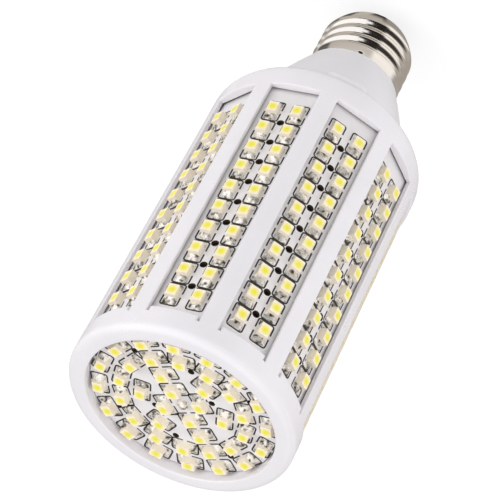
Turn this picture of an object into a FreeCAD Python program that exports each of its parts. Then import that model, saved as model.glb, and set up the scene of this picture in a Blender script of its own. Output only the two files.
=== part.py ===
"""Corn LED bulb with a screw base, ten LED strips in a windowed cage and a round LED board at the front.

The axis is Z. The tip of the centre contact is at the origin and the lit front end points along +Z.
Lengths are millimetres, angles are degrees.
"""
import FreeCAD, Part
import os

import Sketcher

SIZES = {
    # screw base, from the tip upwards
    "contact_radius": 4.8,
    "contact_height": 1.6,
    "insulator_height": 4.4,
    "insulator_plug": 3.0,
    "insulator_tip_margin": 0.6,
    "wire_hole_clearance": 0.3,
    "shell_height": 20.0,
    "shell_wall": 0.3,
    "shell_end_radius": 9.8,
    "shell_end_thickness": 2.0,
    "thread_crest_radius": 13.15,
    "thread_depth": 1.05,
    # neck collar
    "collar_height": 24.8,
    "collar_wall": 1.9,
    "collar_floor": 2.5,
    "collar_steps": 2,
    "neck_lip": 0.85,
    "neck_spigot_length": 12.0,
    "neck_spigot_wall": 2.0,
    "neck_clearance": 0.1,
    "flange_lap": 1.1,
    "cage_spigot_wall": 1.6,
    "cage_clearance": 0.2,
    "hook_width": 6.0,
    "hook_reach": 0.8,
    "hook_rise": 1.2,
    "latch_width": 12.0,
    "latch_height": 3.2,
    "latch_depth": 4.0,
    "latch_proud": 1.3,
    "latch_count": 2,
    "latch_angle": 49.5,
    # cage
    "cage_radius": 29.6,
    "cage_wall": 1.26,
    "cage_floor": 3.5,
    "cage_front_rim": 5.3,
    "base_land": 2.3,
    "shoulder_rounding": 5.0,
    "strip_count": 10,
    "window_lap": 0.6,
    "window_base_margin": 8.1,
    "window_front_margin": 6.3,
    "relief_width": 0.7,
    "relief_length": 1.6,
    "rail_rise": 7.0,
    "rail_stem": 1.2,
    "rail_head_width": 4.4,
    "rail_head_thickness": 1.0,
    "rail_root": 0.6,
    "rail_clearance": 0.1,
    # LED strips
    "strip_edge_gap": 1.45,
    "strip_end_lap": 1.0,
    "board_thickness": 1.6,
    "first_row_rise": 14.2,
    "row_count": 10,
    "row_pitch": 7.4,
    "column_margin": 3.4,
    "led_width": 2.8,
    "led_length": 3.5,
    "led_height": 1.9,
    # front ring and end board
    "ring_thickness": 2.0,
    "ring_wall": 2.15,
    "ring_spigot_clearance": 0.1,
    "strip_end_clearance": 0.2,
    "seat_width": 2.2,
    "seat_thickness": 1.5,
    "end_board_clearance": 0.3,
    "end_board_turn": 1.6,
    "outer_ring_margin": 2.45,
    "centre_ring_radius": 5.2,
    "outer_ring_count": 16,
    "second_ring_count": 14,
    "third_ring_count": 6,
    "centre_ring_count": 4,
    "solder_radius": 1.5,
    "solder_height": 1.2,
    # driver inside the neck
    "driver_edge_clearance": 0.5,
    "driver_thickness": 1.2,
    "driver_slot_depth": 1.5,
    "driver_slot_clearance": 0.1,
    "driver_rise": 7.7,
    "part_rise": 9.0,
    "part_gap": 2.0,
    "film_length": 15.0,
    "film_depth": 8.0,
    "film_height": 14.0,
    "smoothing_radius": 5.0,
    "smoothing_height": 16.0,
    "bridge_length": 8.5,
    "bridge_depth": 3.3,
    "bridge_height": 6.5,
    "bleed_length": 6.4,
    "bleed_depth": 0.6,
    "bleed_height": 3.2,
    # wires
    "wire_radius": 0.6,
    "neutral_offset": 5.0,
    "neutral_lap": 5.0,
    "feed_rise": 5.2,
    "end_feed_offset": 4.0,
    "link_inset": 2.6,
    "link_thickness": 0.5,
    "link_width": 1.2,
    "link_rise": 2.0,
}

# Angle from the middle of a strip to the corner beside it, and the ten-sided space inside the cage
HALF_STEP = "(180 / sizes.strip_count)"
STRIP_FACE = f"((sizes.cage_radius - sizes.cage_wall) * cos({HALF_STEP}))"
STRIP_BACK = f"({STRIP_FACE} - sizes.board_thickness)"
STRIP_WIDTH = f"(2 * {STRIP_FACE} * tan({HALF_STEP}) - 2 * sizes.strip_edge_gap)"
WINDOW_WIDTH = f"({STRIP_WIDTH} - 2 * sizes.window_lap)"
COLUMN = f"({WINDOW_WIDTH} / 2 - sizes.column_margin)"
BASE_OPENING = f"((sizes.cage_radius - sizes.shoulder_rounding - sizes.base_land) * cos({HALF_STEP}))"

# Radii and half widths that several pieces share
THREAD_ROOT = "(sizes.thread_crest_radius - sizes.thread_depth)"
SHELL_BORE = f"({THREAD_ROOT} - sizes.shell_wall)"
NECK_RADIUS = "(sizes.thread_crest_radius + sizes.neck_lip)"
NECK_SPIGOT = f"(({SHELL_BORE} - sizes.neck_clearance) * cos({HALF_STEP}))"
NECK_BORE = f"({NECK_SPIGOT} - sizes.neck_spigot_wall)"
FLANGE_RADIUS = f"({BASE_OPENING} / cos({HALF_STEP}) + sizes.flange_lap)"
CAGE_SPIGOT = f"({BASE_OPENING} - sizes.cage_clearance)"
COLLAR_BORE = f"(({NECK_RADIUS} - sizes.collar_wall) * cos({HALF_STEP}))"
RING_OPENING = f"({STRIP_FACE} - sizes.ring_wall)"
END_BOARD_RADIUS = f"({RING_OPENING} - sizes.end_board_clearance)"
OUTER_RING = f"({END_BOARD_RADIUS} - sizes.outer_ring_margin)"
RING_STEP = f"(({OUTER_RING} - sizes.centre_ring_radius) / 3)"
DRIVER_HALF = f"({COLLAR_BORE} - sizes.driver_edge_clearance)"
DRIVER_FACE = "(sizes.driver_thickness / 2)"

# Flats that stand for a rounded edge, and sides of small round pieces
ROUNDING_FLATS = 2
WIRE_SIDES = 6
SOLDER_SIDES = 8
WIRE_FLAT = f"(sizes.wire_radius * cos({180 / WIRE_SIDES}))"

# Levels along the axis, each from the tip of the contact
SHELL_Z = "(sizes.contact_height + sizes.insulator_height)"
PLUG_Z = f"({SHELL_Z} + sizes.insulator_plug)"
COLLAR_Z = f"({SHELL_Z} + sizes.shell_height)"
NECK_END_Z = f"({COLLAR_Z} - sizes.neck_spigot_length)"
CAVITY_Z = f"({COLLAR_Z} + sizes.collar_floor)"
CAGE_Z = f"({COLLAR_Z} + sizes.collar_height)"
FLOOR_Z = f"({CAGE_Z} + sizes.cage_floor)"
SPIGOT_END_Z = f"({FLOOR_Z} + sizes.hook_rise)"
FIRST_ROW_Z = f"({FLOOR_Z} + sizes.first_row_rise)"
LAST_ROW_Z = f"({FIRST_ROW_Z} + (sizes.row_count - 1) * sizes.row_pitch)"
WINDOW_BASE_Z = f"({FIRST_ROW_Z} - sizes.window_base_margin)"
WINDOW_FRONT_Z = f"({LAST_ROW_Z} + sizes.window_front_margin)"
STRIP_END_Z = f"({WINDOW_FRONT_Z} + sizes.strip_end_lap)"
RING_END_Z = f"({STRIP_END_Z} + sizes.strip_end_clearance)"
SEAT_Z = f"({RING_END_Z} + sizes.seat_thickness)"
END_FACE_Z = f"({SEAT_Z} + sizes.board_thickness)"
RING_Z = f"({WINDOW_FRONT_Z} + sizes.cage_front_rim)"
FRONT_Z = f"({RING_Z} + sizes.ring_thickness)"
DRIVER_Z = f"({CAVITY_Z} - sizes.driver_slot_depth)"
DRIVER_TOP_Z = f"({FLOOR_Z} + sizes.driver_rise)"

doc = FreeCAD.newDocument("corn_led_bulb")
sheet = doc.addObject("Spreadsheet::Sheet", "sizes")
for row, (alias, value) in enumerate(SIZES.items(), start=1):
    sheet.set(f"A{row}", str(value))
    sheet.setAlias(f"A{row}", alias)
doc.recompute()

nodes = []


def measure(expression):
    """Present value of an expression, as a plain number."""
    value = sheet.evalExpression(str(expression))
    return float(getattr(value, "Value", value))


def new_body(label):
    body = doc.addObject("PartDesign::Body", label)
    body.Label = label
    nodes.append(body)
    return body


def origin_feature(body, role):
    return next(item for item in body.Origin.OriginFeatures if item.Role == role)


def new_sketch(body, name, plane, height="0", turn="0"):
    """Sketch on one of the body's own planes, lifted along its normal and turned in the plane."""
    sketch = body.newObject("Sketcher::SketchObject", f"{body.Label}_{name}")
    sketch.AttachmentSupport = [(origin_feature(body, plane), "")]
    sketch.MapMode = "FlatFace"
    sketch.AttachmentOffset = FreeCAD.Placement(
        FreeCAD.Vector(0, 0, measure(height)),
        FreeCAD.Rotation(FreeCAD.Vector(0, 0, 1), measure(turn)),
    )
    sketch.setExpression("AttachmentOffset.Base.z", height)
    sketch.setExpression("AttachmentOffset.Rotation.Angle", turn)
    return sketch


def fix_point(sketch, edge, end, x, y):
    """Tie one end of an edge to a place given by two expressions."""
    for kind, expression in (("DistanceX", x), ("DistanceY", y)):
        index = sketch.addConstraint(Sketcher.Constraint(kind, edge, end, measure(expression)))
        sketch.setExpression(f"Constraints[{index}]", expression)


def draw_outline(sketch, corners):
    """Closed run of straight lines through corners given as pairs of expressions."""
    points = [FreeCAD.Vector(measure(x), measure(y), 0) for x, y in corners]
    first = sketch.GeometryCount
    for start, end in zip(points, points[1:] + points[:1]):
        sketch.addGeometry(Part.LineSegment(start, end), False)
    for i, (x, y) in enumerate(corners):
        fix_point(sketch, first + i, 1, x, y)
        following = first + (i + 1) % len(corners)
        sketch.addConstraint(Sketcher.Constraint("Coincident", first + i, 2, following, 1))


def draw_box(sketch, x, y, width, height):
    """Rectangle centred on (x, y)."""
    left, right = f"{x} - {width} / 2", f"{x} + {width} / 2"
    low, high = f"{y} - {height} / 2", f"{y} + {height} / 2"
    draw_outline(sketch, [(left, low), (right, low), (right, high), (left, high)])


def draw_polygon(sketch, x, y, corner, sides):
    """Regular polygon about (x, y), out to its corners, with a flat that faces along the sketch's first axis."""
    angles = [(2 * i + 1) * 180 / sides for i in range(sides)]
    draw_outline(sketch, [(f"{x} + {corner} * cos({a})", f"{y} + {corner} * sin({a})") for a in angles])


def draw_strip_polygon(sketch, apothem):
    """Polygon round the axis with one flat for each strip."""
    draw_polygon(sketch, "0", "0", f"{apothem} / cos({HALF_STEP})", int(measure("sizes.strip_count")))


def draw_circle(sketch, x, y, radius):
    centre = FreeCAD.Vector(measure(x), measure(y), 0)
    circle = Part.Circle(centre, FreeCAD.Vector(0, 0, 1), measure(radius))
    edge = sketch.addGeometry(circle, False)
    fix_point(sketch, edge, 3, x, y)
    index = sketch.addConstraint(Sketcher.Constraint("Radius", edge, measure(radius)))
    sketch.setExpression(f"Constraints[{index}]", radius)


def feature(body, kind, name, sketch):
    item = body.newObject(f"PartDesign::{kind}", f"{body.Label}_{name}")
    item.Profile = sketch
    body.Tip = item
    return item


def pad(body, name, sketch, length):
    """Solid grown along the sketch's normal."""
    block = feature(body, "Pad", name, sketch)
    block.setExpression("Length", length)
    return block


def check_cut(cut, before):
    """A cut has to take material away."""
    doc.recompute()
    if cut.Shape.Volume >= before.Shape.Volume:
        raise RuntimeError(f"{cut.Label} cuts nothing")


def pocket(body, name, sketch, length):
    """Cut along the sketch's normal."""
    before = body.Tip
    cut = feature(body, "Pocket", name, sketch)
    cut.setExpression("Length", length)
    cut.Reversed = True
    check_cut(cut, before)
    return cut


def around_axis(body, name, originals, count):
    """Repeat features evenly round Z."""
    pattern = body.newObject("PartDesign::PolarPattern", f"{body.Label}_{name}")
    pattern.Originals = originals
    pattern.Axis = (origin_feature(body, "Z_Axis"), [""])
    pattern.Angle = 360
    pattern.setExpression("Occurrences", count)
    body.Tip = pattern


def along_axis(body, name, original, count, step):
    """Repeat a feature along Z."""
    pattern = body.newObject("PartDesign::LinearPattern", f"{body.Label}_{name}")
    pattern.Originals = [original]
    pattern.Direction = (origin_feature(body, "Z_Axis"), [""])
    pattern.Mode = "Spacing"
    pattern.setExpression("Offset", step)
    pattern.setExpression("Occurrences", count)
    body.Tip = pattern


def turned(label, corners):
    """Body turned round Z from a half section given as (radius, height) corners."""
    body = new_body(label)
    section = new_sketch(body, "section", "XZ_Plane")
    draw_outline(section, corners)
    turn = feature(body, "Revolution", "turning", section)
    turn.ReferenceAxis = (section, ["V_Axis"])
    turn.Angle = 360
    return body


def rounded_edge(radius, face, rounding, side):
    """Corners that round the edge of a turned piece: side is 1 for its front face, -1 for its back face."""
    corners = []
    for i in range(ROUNDING_FLATS + 1):
        angle = i * 90 / ROUNDING_FLATS
        corners.append((
            f"{radius} - {rounding} * (1 - cos({angle}))",
            f"{face} - {side} * {rounding} * (1 - sin({angle}))",
        ))
    return corners


def turn_about_axis(body, angle):
    body.Placement = FreeCAD.Placement(
        FreeCAD.Vector(0, 0, 0), FreeCAD.Rotation(FreeCAD.Vector(0, 0, 1), measure(angle))
    )
    body.setExpression("Placement.Rotation.Angle", angle)


def centre_contact():
    turned("centre_contact", [
        ("0", "0"),
        ("sizes.contact_radius", "0"),
        ("sizes.contact_radius", "sizes.contact_height"),
        ("0", "sizes.contact_height"),
    ])


def contact_insulator():
    """Glass cone that carries the contact, with a flat-sided plug in the end of the shell and a hole for the wire."""
    body = turned("contact_insulator", [
        ("0", "sizes.contact_height"),
        ("sizes.contact_radius + sizes.insulator_tip_margin", "sizes.contact_height"),
        ("sizes.shell_end_radius", SHELL_Z),
        ("0", SHELL_Z),
    ])
    plug = new_sketch(body, "plug_outline", "XY_Plane", SHELL_Z)
    draw_strip_polygon(plug, f"(sizes.shell_end_radius * cos({HALF_STEP}))")
    pad(body, "plug", plug, "sizes.insulator_plug")
    hole = new_sketch(body, "hole_outline", "XY_Plane", "sizes.contact_height")
    draw_polygon(hole, "0", "0", "(sizes.wire_radius + sizes.wire_hole_clearance)", WIRE_SIDES)
    pocket(body, "hole", hole, f"{PLUG_Z} - sizes.contact_height")


def screw_shell():
    """Metal shell out to the crests of its thread, turned in at the end to hold the insulator's plug."""
    end = f"{SHELL_Z} + sizes.shell_end_thickness"
    turned("screw_shell", [
        ("sizes.shell_end_radius", SHELL_Z),
        ("sizes.thread_crest_radius", SHELL_Z),
        ("sizes.thread_crest_radius", COLLAR_Z),
        (SHELL_BORE, COLLAR_Z),
        (SHELL_BORE, end),
        ("sizes.shell_end_radius", end),
    ])


def neck_collar():
    """Cone with a spigot for the shell and one for the cage, snap hooks, latch tabs and a slot for the board."""
    body = turned("neck_collar", [
        ("0", COLLAR_Z),
        (NECK_RADIUS, COLLAR_Z),
        (FLANGE_RADIUS, CAGE_Z),
        ("0", CAGE_Z),
    ])
    neck = new_sketch(body, "neck_outline", "XY_Plane", NECK_END_Z)
    draw_strip_polygon(neck, NECK_SPIGOT)
    pad(body, "neck", neck, "sizes.neck_spigot_length")
    spigot = new_sketch(body, "spigot_outline", "XY_Plane", CAGE_Z)
    draw_strip_polygon(spigot, CAGE_SPIGOT)
    pad(body, "spigot", spigot, f"{SPIGOT_END_Z} - {CAGE_Z}")

    hook = new_sketch(body, "hook_outline", "XY_Plane", FLOOR_Z)
    hook_depth = "(sizes.cage_spigot_wall + sizes.cage_clearance + sizes.hook_reach)"
    draw_box(hook, f"{BASE_OPENING} + sizes.hook_reach - {hook_depth} / 2", "0", hook_depth, "sizes.hook_width")
    around_axis(body, "hooks", [pad(body, "hook", hook, "sizes.hook_rise")], "sizes.strip_count / 2")

    latch = new_sketch(body, "latch_outline", "XY_Plane", f"{CAGE_Z} - sizes.latch_height", "sizes.latch_angle")
    latch_middle = f"{FLANGE_RADIUS} + sizes.latch_proud - sizes.latch_depth / 2"
    draw_box(latch, latch_middle, "0", "sizes.latch_depth", "sizes.latch_width")
    around_axis(body, "latches", [pad(body, "latch", latch, "sizes.latch_height")], "sizes.latch_count")

    steps = int(measure("sizes.collar_steps"))
    for i in range(steps):
        share = f"{i} / sizes.collar_steps"
        level = f"({CAVITY_Z} + ({CAGE_Z} - {CAVITY_Z}) * {share})"
        width = f"({COLLAR_BORE} + ({CAGE_SPIGOT} - sizes.cage_spigot_wall - {COLLAR_BORE}) * {share})"
        step = new_sketch(body, f"cavity_outline_{i}", "XY_Plane", level)
        draw_strip_polygon(step, width)
        pocket(body, f"cavity_{i}", step, f"{SPIGOT_END_Z} - {level}")
    bore = new_sketch(body, "bore_outline", "XY_Plane", NECK_END_Z)
    draw_strip_polygon(bore, NECK_BORE)
    pocket(body, "bore", bore, f"{CAVITY_Z} - {NECK_END_Z}")
    slot = new_sketch(body, "slot_outline", "XY_Plane", DRIVER_Z)
    clearance = "2 * sizes.driver_slot_clearance"
    draw_box(slot, "0", "0", f"(2 * {DRIVER_HALF} + {clearance})", f"(sizes.driver_thickness + {clearance})")
    pocket(body, "slot", slot, "sizes.driver_slot_depth")


def rail_x(half_width):
    """Radial place of the clip face at a distance from the rail's middle, parallel to the strip's back."""
    return f"(({STRIP_BACK} - sizes.rail_clearance - {half_width} * sin({HALF_STEP})) / cos({HALF_STEP}))"


def cage_housing():
    """Round shell with flat strip seats inside, a window in each flat and a T rail between each pair of strips."""
    shoulder = rounded_edge("sizes.cage_radius", CAGE_Z, "sizes.shoulder_rounding", -1)
    body = turned("cage_housing", [
        ("0", CAGE_Z),
        *reversed(shoulder),
        ("sizes.cage_radius", RING_Z),
        ("0", RING_Z),
    ])
    seats = new_sketch(body, "seat_outline", "XY_Plane", FLOOR_Z)
    draw_strip_polygon(seats, STRIP_FACE)
    pocket(body, "seats", seats, f"{RING_Z} - {FLOOR_Z}")
    mouth = new_sketch(body, "base_opening_outline", "XY_Plane", CAGE_Z)
    draw_strip_polygon(mouth, BASE_OPENING)
    pocket(body, "base_opening", mouth, "sizes.cage_floor")

    opening = new_sketch(body, "window_outline", "YZ_Plane")
    side = f"({WINDOW_WIDTH} / 2)"
    inner = f"({side} - sizes.relief_width)"
    relief_z = f"{WINDOW_FRONT_Z} + sizes.relief_length"
    draw_outline(opening, [
        (f"-{side}", WINDOW_BASE_Z),
        (side, WINDOW_BASE_Z),
        (side, relief_z),
        (inner, relief_z),
        (inner, WINDOW_FRONT_Z),
        (f"-{inner}", WINDOW_FRONT_Z),
        (f"-{inner}", relief_z),
        (f"-{side}", relief_z),
    ])
    window = pocket(body, "window", opening, "sizes.cage_radius")

    section = new_sketch(body, "rail_outline", "XY_Plane", f"{FLOOR_Z} + sizes.rail_rise", HALF_STEP)
    root = f"({STRIP_FACE} / cos({HALF_STEP}) + sizes.rail_root)"
    stem = "(sizes.rail_stem / 2)"
    head = "(sizes.rail_head_width / 2)"
    head_back = f"({rail_x(head)} - sizes.rail_head_thickness)"
    draw_outline(section, [
        (root, f"-{stem}"),
        (root, stem),
        (rail_x(stem), stem),
        (rail_x(head), head),
        (head_back, head),
        (head_back, f"-{head}"),
        (rail_x(head), f"-{head}"),
        (rail_x(stem), f"-{stem}"),
    ])
    rail = pad(body, "rail", section, f"{WINDOW_FRONT_Z} - {FLOOR_Z} - sizes.rail_rise")
    around_axis(body, "sectors", [window, rail], "sizes.strip_count")


def front_ring():
    """End cap: rounded edge, ten-sided spigot inside the cage and a seat for the end board."""
    body = turned("front_ring", [
        (RING_OPENING, RING_Z),
        *rounded_edge("sizes.cage_radius", FRONT_Z, "sizes.ring_thickness", 1),
        (RING_OPENING, FRONT_Z),
    ])
    spigot = f"({STRIP_FACE} - sizes.ring_spigot_clearance)"
    wall = new_sketch(body, "wall_outline", "XY_Plane", SEAT_Z)
    draw_strip_polygon(wall, spigot)
    draw_circle(wall, "0", "0", RING_OPENING)
    pad(body, "wall", wall, f"{RING_Z} - {SEAT_Z}")
    seat = new_sketch(body, "seat_outline", "XY_Plane", RING_END_Z)
    draw_strip_polygon(seat, spigot)
    draw_strip_polygon(seat, f"(({RING_OPENING} - sizes.seat_width) * cos({HALF_STEP}))")
    pad(body, "seat", seat, "sizes.seat_thickness")


def strip_board(number, angle):
    """Flat board against the inside of one window."""
    body = new_body(f"strip_board_{number:02d}")
    outline = new_sketch(body, "outline", "YZ_Plane", STRIP_BACK)
    draw_box(outline, "0", f"({FLOOR_Z} + {STRIP_END_Z}) / 2", STRIP_WIDTH, f"({STRIP_END_Z} - {FLOOR_Z})")
    pad(body, "blank", outline, "sizes.board_thickness")
    turn_about_axis(body, angle)


def strip_leds(number, angle):
    """LED packages of one strip, in two columns."""
    body = new_body(f"strip_leds_{number:02d}")
    outline = new_sketch(body, "outline", "YZ_Plane", STRIP_FACE)
    for side in (-1, 1):
        draw_box(outline, f"{side} * {COLUMN}", FIRST_ROW_Z, "sizes.led_width", "sizes.led_length")
    package = pad(body, "pair", outline, "sizes.led_height")
    along_axis(body, "rows", package, "sizes.row_count", "sizes.row_pitch")
    turn_about_axis(body, angle)


def end_board():
    """Round board on the seat of the front ring."""
    body = new_body("end_board")
    outline = new_sketch(body, "outline", "XY_Plane", SEAT_Z)
    draw_circle(outline, "0", "0", END_BOARD_RADIUS)
    pad(body, "blank", outline, "sizes.board_thickness")
    turn_about_axis(body, "sizes.end_board_turn")


def end_leds():
    """LED packages of the end board in four evenly spaced rings, each package lying along its ring."""
    body = new_body("end_leds")
    rings = [("outer", 3, 0), ("second", 2, 0.5), ("third", 1, 0.5), ("centre", 0, 0)]
    for ring, steps, offset in rings:
        count = f"sizes.{ring}_ring_count"
        outline = new_sketch(body, f"{ring}_outline", "XY_Plane", END_FACE_Z, f"{offset} * 360 / {count}")
        radius = f"(sizes.centre_ring_radius + {steps} * {RING_STEP})"
        draw_box(outline, radius, "0", "sizes.led_width", "sizes.led_length")
        package = pad(body, f"{ring}_package", outline, "sizes.led_height")
        around_axis(body, f"{ring}_packages", [package], count)
    turn_about_axis(body, "sizes.end_board_turn")


def centre_solder():
    """Mound of solder over the feed at the middle of the end board."""
    body = new_body("centre_solder")
    outline = new_sketch(body, "outline", "XY_Plane", END_FACE_Z)
    draw_polygon(outline, "0", "0", "sizes.solder_radius", SOLDER_SIDES)
    pad(body, "mound", outline, "sizes.solder_height")


def driver_block(label, side, length, depth, height, base):
    """Block that lies against one face of the driver board."""
    body = new_body(label)
    outline = new_sketch(body, "outline", "XY_Plane", base)
    draw_box(outline, "0", f"{side} * ({DRIVER_FACE} + {depth} / 2)", length, depth)
    pad(body, "block", outline, height)


def driver():
    """Driver board upright in the collar's slot, with its parts against its two faces."""
    body = new_body("driver_board")
    outline = new_sketch(body, "outline", "XY_Plane", DRIVER_Z)
    draw_box(outline, "0", "0", f"(2 * {DRIVER_HALF})", "sizes.driver_thickness")
    pad(body, "blank", outline, f"{DRIVER_TOP_Z} - {DRIVER_Z}")

    first = f"({DRIVER_Z} + sizes.part_rise)"
    above_film = f"({first} + sizes.film_height + sizes.part_gap)"
    above_can = f"({first} + sizes.smoothing_height + sizes.part_gap)"
    driver_block("film_capacitor", 1, "sizes.film_length", "sizes.film_depth", "sizes.film_height", first)
    driver_block("bleed_resistor", 1, "sizes.bleed_length", "sizes.bleed_depth", "sizes.bleed_height", above_film)
    driver_block(
        "bridge_rectifier", -1, "sizes.bridge_length", "sizes.bridge_depth", "sizes.bridge_height", above_can
    )
    can = new_body("smoothing_capacitor")
    circle = new_sketch(can, "outline", "XY_Plane", first)
    draw_circle(circle, "0", f"-{DRIVER_FACE} - sizes.smoothing_radius", "sizes.smoothing_radius")
    pad(can, "can", circle, "sizes.smoothing_height")


def straight_wire(body, name, plane, height, x, y, length):
    """Wire along the normal of a plane."""
    outline = new_sketch(body, f"{name}_outline", plane, height)
    draw_polygon(outline, x, y, "sizes.wire_radius", WIRE_SIDES)
    pad(body, name, outline, length)


def wires():
    """Leads from the screw base to the driver, and from the driver to the strips and the end board."""
    live = new_body("live_wire")
    straight_wire(live, "run", "XY_Plane", "sizes.contact_height", "0", "0", f"{DRIVER_Z} - sizes.contact_height")

    neutral = new_body("neutral_wire")
    across_z = f"(({PLUG_Z} + {NECK_END_Z}) / 2)"
    up_y = f"({DRIVER_FACE} + sizes.wire_radius)"
    low_z = f"({across_z} - sizes.wire_radius)"
    reach = f"sqrt({SHELL_BORE} ^ 2 - (sizes.neutral_offset + {WIRE_FLAT}) ^ 2)"
    up_length = f"{DRIVER_Z} + sizes.neutral_lap - {low_z}"
    straight_wire(neutral, "rise", "XY_Plane", low_z, "sizes.neutral_offset", f"-{up_y}", up_length)
    straight_wire(neutral, "branch", "XZ_Plane", up_y, "sizes.neutral_offset", across_z, f"{reach} - {up_y}")

    strip_feeds = new_body("strip_feed_wires")
    feed_z = f"({FLOOR_Z} + sizes.feed_rise)"
    length = f"{STRIP_BACK} - {DRIVER_HALF}"
    for name, start in (("first", DRIVER_HALF), ("opposite", f"-{STRIP_BACK}")):
        straight_wire(strip_feeds, name, "YZ_Plane", start, "0", feed_z, length)

    end_feeds = new_body("end_feed_wires")
    for name, side in (("plus", 1), ("minus", -1)):
        x = f"{side} * sizes.end_feed_offset"
        straight_wire(end_feeds, name, "XY_Plane", DRIVER_TOP_Z, x, "0", f"{SEAT_Z} - {DRIVER_TOP_Z}")


def strip_links():
    """Tinned straps across the corners between neighbouring strips, their edges against the backs of both."""
    body = new_body("strip_links")
    outline = new_sketch(body, "outline", "XY_Plane", f"{FLOOR_Z} + sizes.link_rise", HALF_STEP)
    half = f"((sizes.strip_edge_gap + sizes.link_inset) * cos({HALF_STEP}))"
    face = f"(({STRIP_BACK} - {half} * sin({HALF_STEP})) / cos({HALF_STEP}))"
    draw_box(outline, f"{face} - sizes.link_thickness / 2", "0", "sizes.link_thickness", f"(2 * {half})")
    around_axis(body, "straps", [pad(body, "strap", outline, "sizes.link_width")], "sizes.strip_count")


for build in (centre_contact, contact_insulator, screw_shell, neck_collar, cage_housing, front_ring):
    build()
for i in range(int(measure("sizes.strip_count"))):
    strip_angle = f"{i} * 360 / sizes.strip_count"
    strip_board(i + 1, strip_angle)
    strip_leds(i + 1, strip_angle)
for build in (end_board, end_leds, centre_solder, driver, wires, strip_links):
    build()

doc.recompute()
for item in doc.Objects:
    if "Invalid" in item.State or "Error" in item.State:
        raise RuntimeError(f"{item.Label} failed: {item.State}")
for node in nodes:
    if node.Shape.isNull() or not node.Shape.isValid():
        raise RuntimeError(f"{node.Label} has no valid shape")

os.makedirs("parts", exist_ok=True)
for node in nodes:
    node.Shape.exportStep(f"parts/{node.Label}.step")
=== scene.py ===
"""Corn LED bulb: the looks of the bulb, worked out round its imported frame.

Lengths are metres in the bulb's own frame: the axis is Z, the contact's tip is at the origin and the lit
front end points along +Z. Strip 1 faces +X and the strips follow each other counter-clockwise.
"""

import math

import bmesh
import bpy
import numpy as np
from bpy.props import FloatProperty, FloatVectorProperty, PointerProperty
from mathutils import Matrix, Vector


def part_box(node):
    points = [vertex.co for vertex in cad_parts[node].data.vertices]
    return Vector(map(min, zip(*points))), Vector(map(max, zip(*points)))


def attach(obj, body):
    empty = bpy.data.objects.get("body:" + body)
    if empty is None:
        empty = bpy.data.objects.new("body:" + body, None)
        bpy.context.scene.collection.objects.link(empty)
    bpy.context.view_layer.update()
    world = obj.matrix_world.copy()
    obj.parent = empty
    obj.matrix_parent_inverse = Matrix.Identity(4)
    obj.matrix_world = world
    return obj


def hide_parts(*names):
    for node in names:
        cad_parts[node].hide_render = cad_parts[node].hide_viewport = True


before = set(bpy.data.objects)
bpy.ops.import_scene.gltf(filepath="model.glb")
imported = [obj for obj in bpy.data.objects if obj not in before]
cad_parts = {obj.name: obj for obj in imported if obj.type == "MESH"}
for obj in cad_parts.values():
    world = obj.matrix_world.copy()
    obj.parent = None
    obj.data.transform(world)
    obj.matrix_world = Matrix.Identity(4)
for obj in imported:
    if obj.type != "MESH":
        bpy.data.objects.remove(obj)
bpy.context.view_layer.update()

bl_info = {
    "name": "Corn LED bulb",
    "version": (1, 0, 0),
    "blender": (4, 5, 0),
    "location": "View3D > Sidebar > Corn bulb",
    "description": "Builds the visible surfaces, finishes and studio of a corn LED bulb",
    "category": "Object",
}

MM = 0.001
TURN = 2 * math.pi
BODY = "root"
SEED = 7
WELD_DISTANCE = 0.002 * MM
SHARP_ANGLE = math.radians(40.0)
BUMP_HEIGHT = 0.05 * MM
CLOUD_TINT = 0.9


def node_box(node):
    """Lowest and highest corner of a node of the frame."""
    low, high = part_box(node)
    return np.array(low), np.array(high)


# Places that the frame gives
CONTACT_LOW, CONTACT_HIGH = node_box("centre_contact")
INSULATOR_HIGH = node_box("contact_insulator")[1]
SHELL_LOW, SHELL_HIGH = node_box("screw_shell")
COLLAR_LOW, COLLAR_HIGH = node_box("neck_collar")
CAGE_LOW, CAGE_HIGH = node_box("cage_housing")
RING_LOW, RING_HIGH = node_box("front_ring")
BOARD_LOW, BOARD_HIGH = node_box("strip_board_01")
LEDS_LOW, LEDS_HIGH = node_box("strip_leds_01")
END_LOW, END_HIGH = node_box("end_board")
SOLDER_LOW, SOLDER_HIGH = node_box("centre_solder")

STRIPS = sum(name.startswith("strip_board_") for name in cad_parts)
SECTOR = TURN / STRIPS
STRIP_ANGLES = np.arange(STRIPS) * SECTOR
COLUMNS_PER_SECTOR = 12
COLUMNS = COLUMNS_PER_SECTOR * STRIPS
LED_ROWS = 10


def length(name, millimetres, words):
    """Size given in millimetres."""
    return FloatProperty(
        name=name, description=words, default=millimetres * MM, min=0.0, unit="LENGTH", precision=5
    )


def angle(name, degrees, words):
    """Angle given in degrees."""
    return FloatProperty(name=name, description=words, default=math.radians(degrees), unit="ROTATION")


def power(name, watts, words):
    """Power of a lamp."""
    return FloatProperty(name=name, description=words, default=watts, min=0.0, unit="POWER")


def colour(name, value, words):
    """Base colour of a finish."""
    return FloatVectorProperty(
        name=name, description=words, default=value, size=3, min=0.0, max=1.0, subtype="COLOR"
    )


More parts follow.
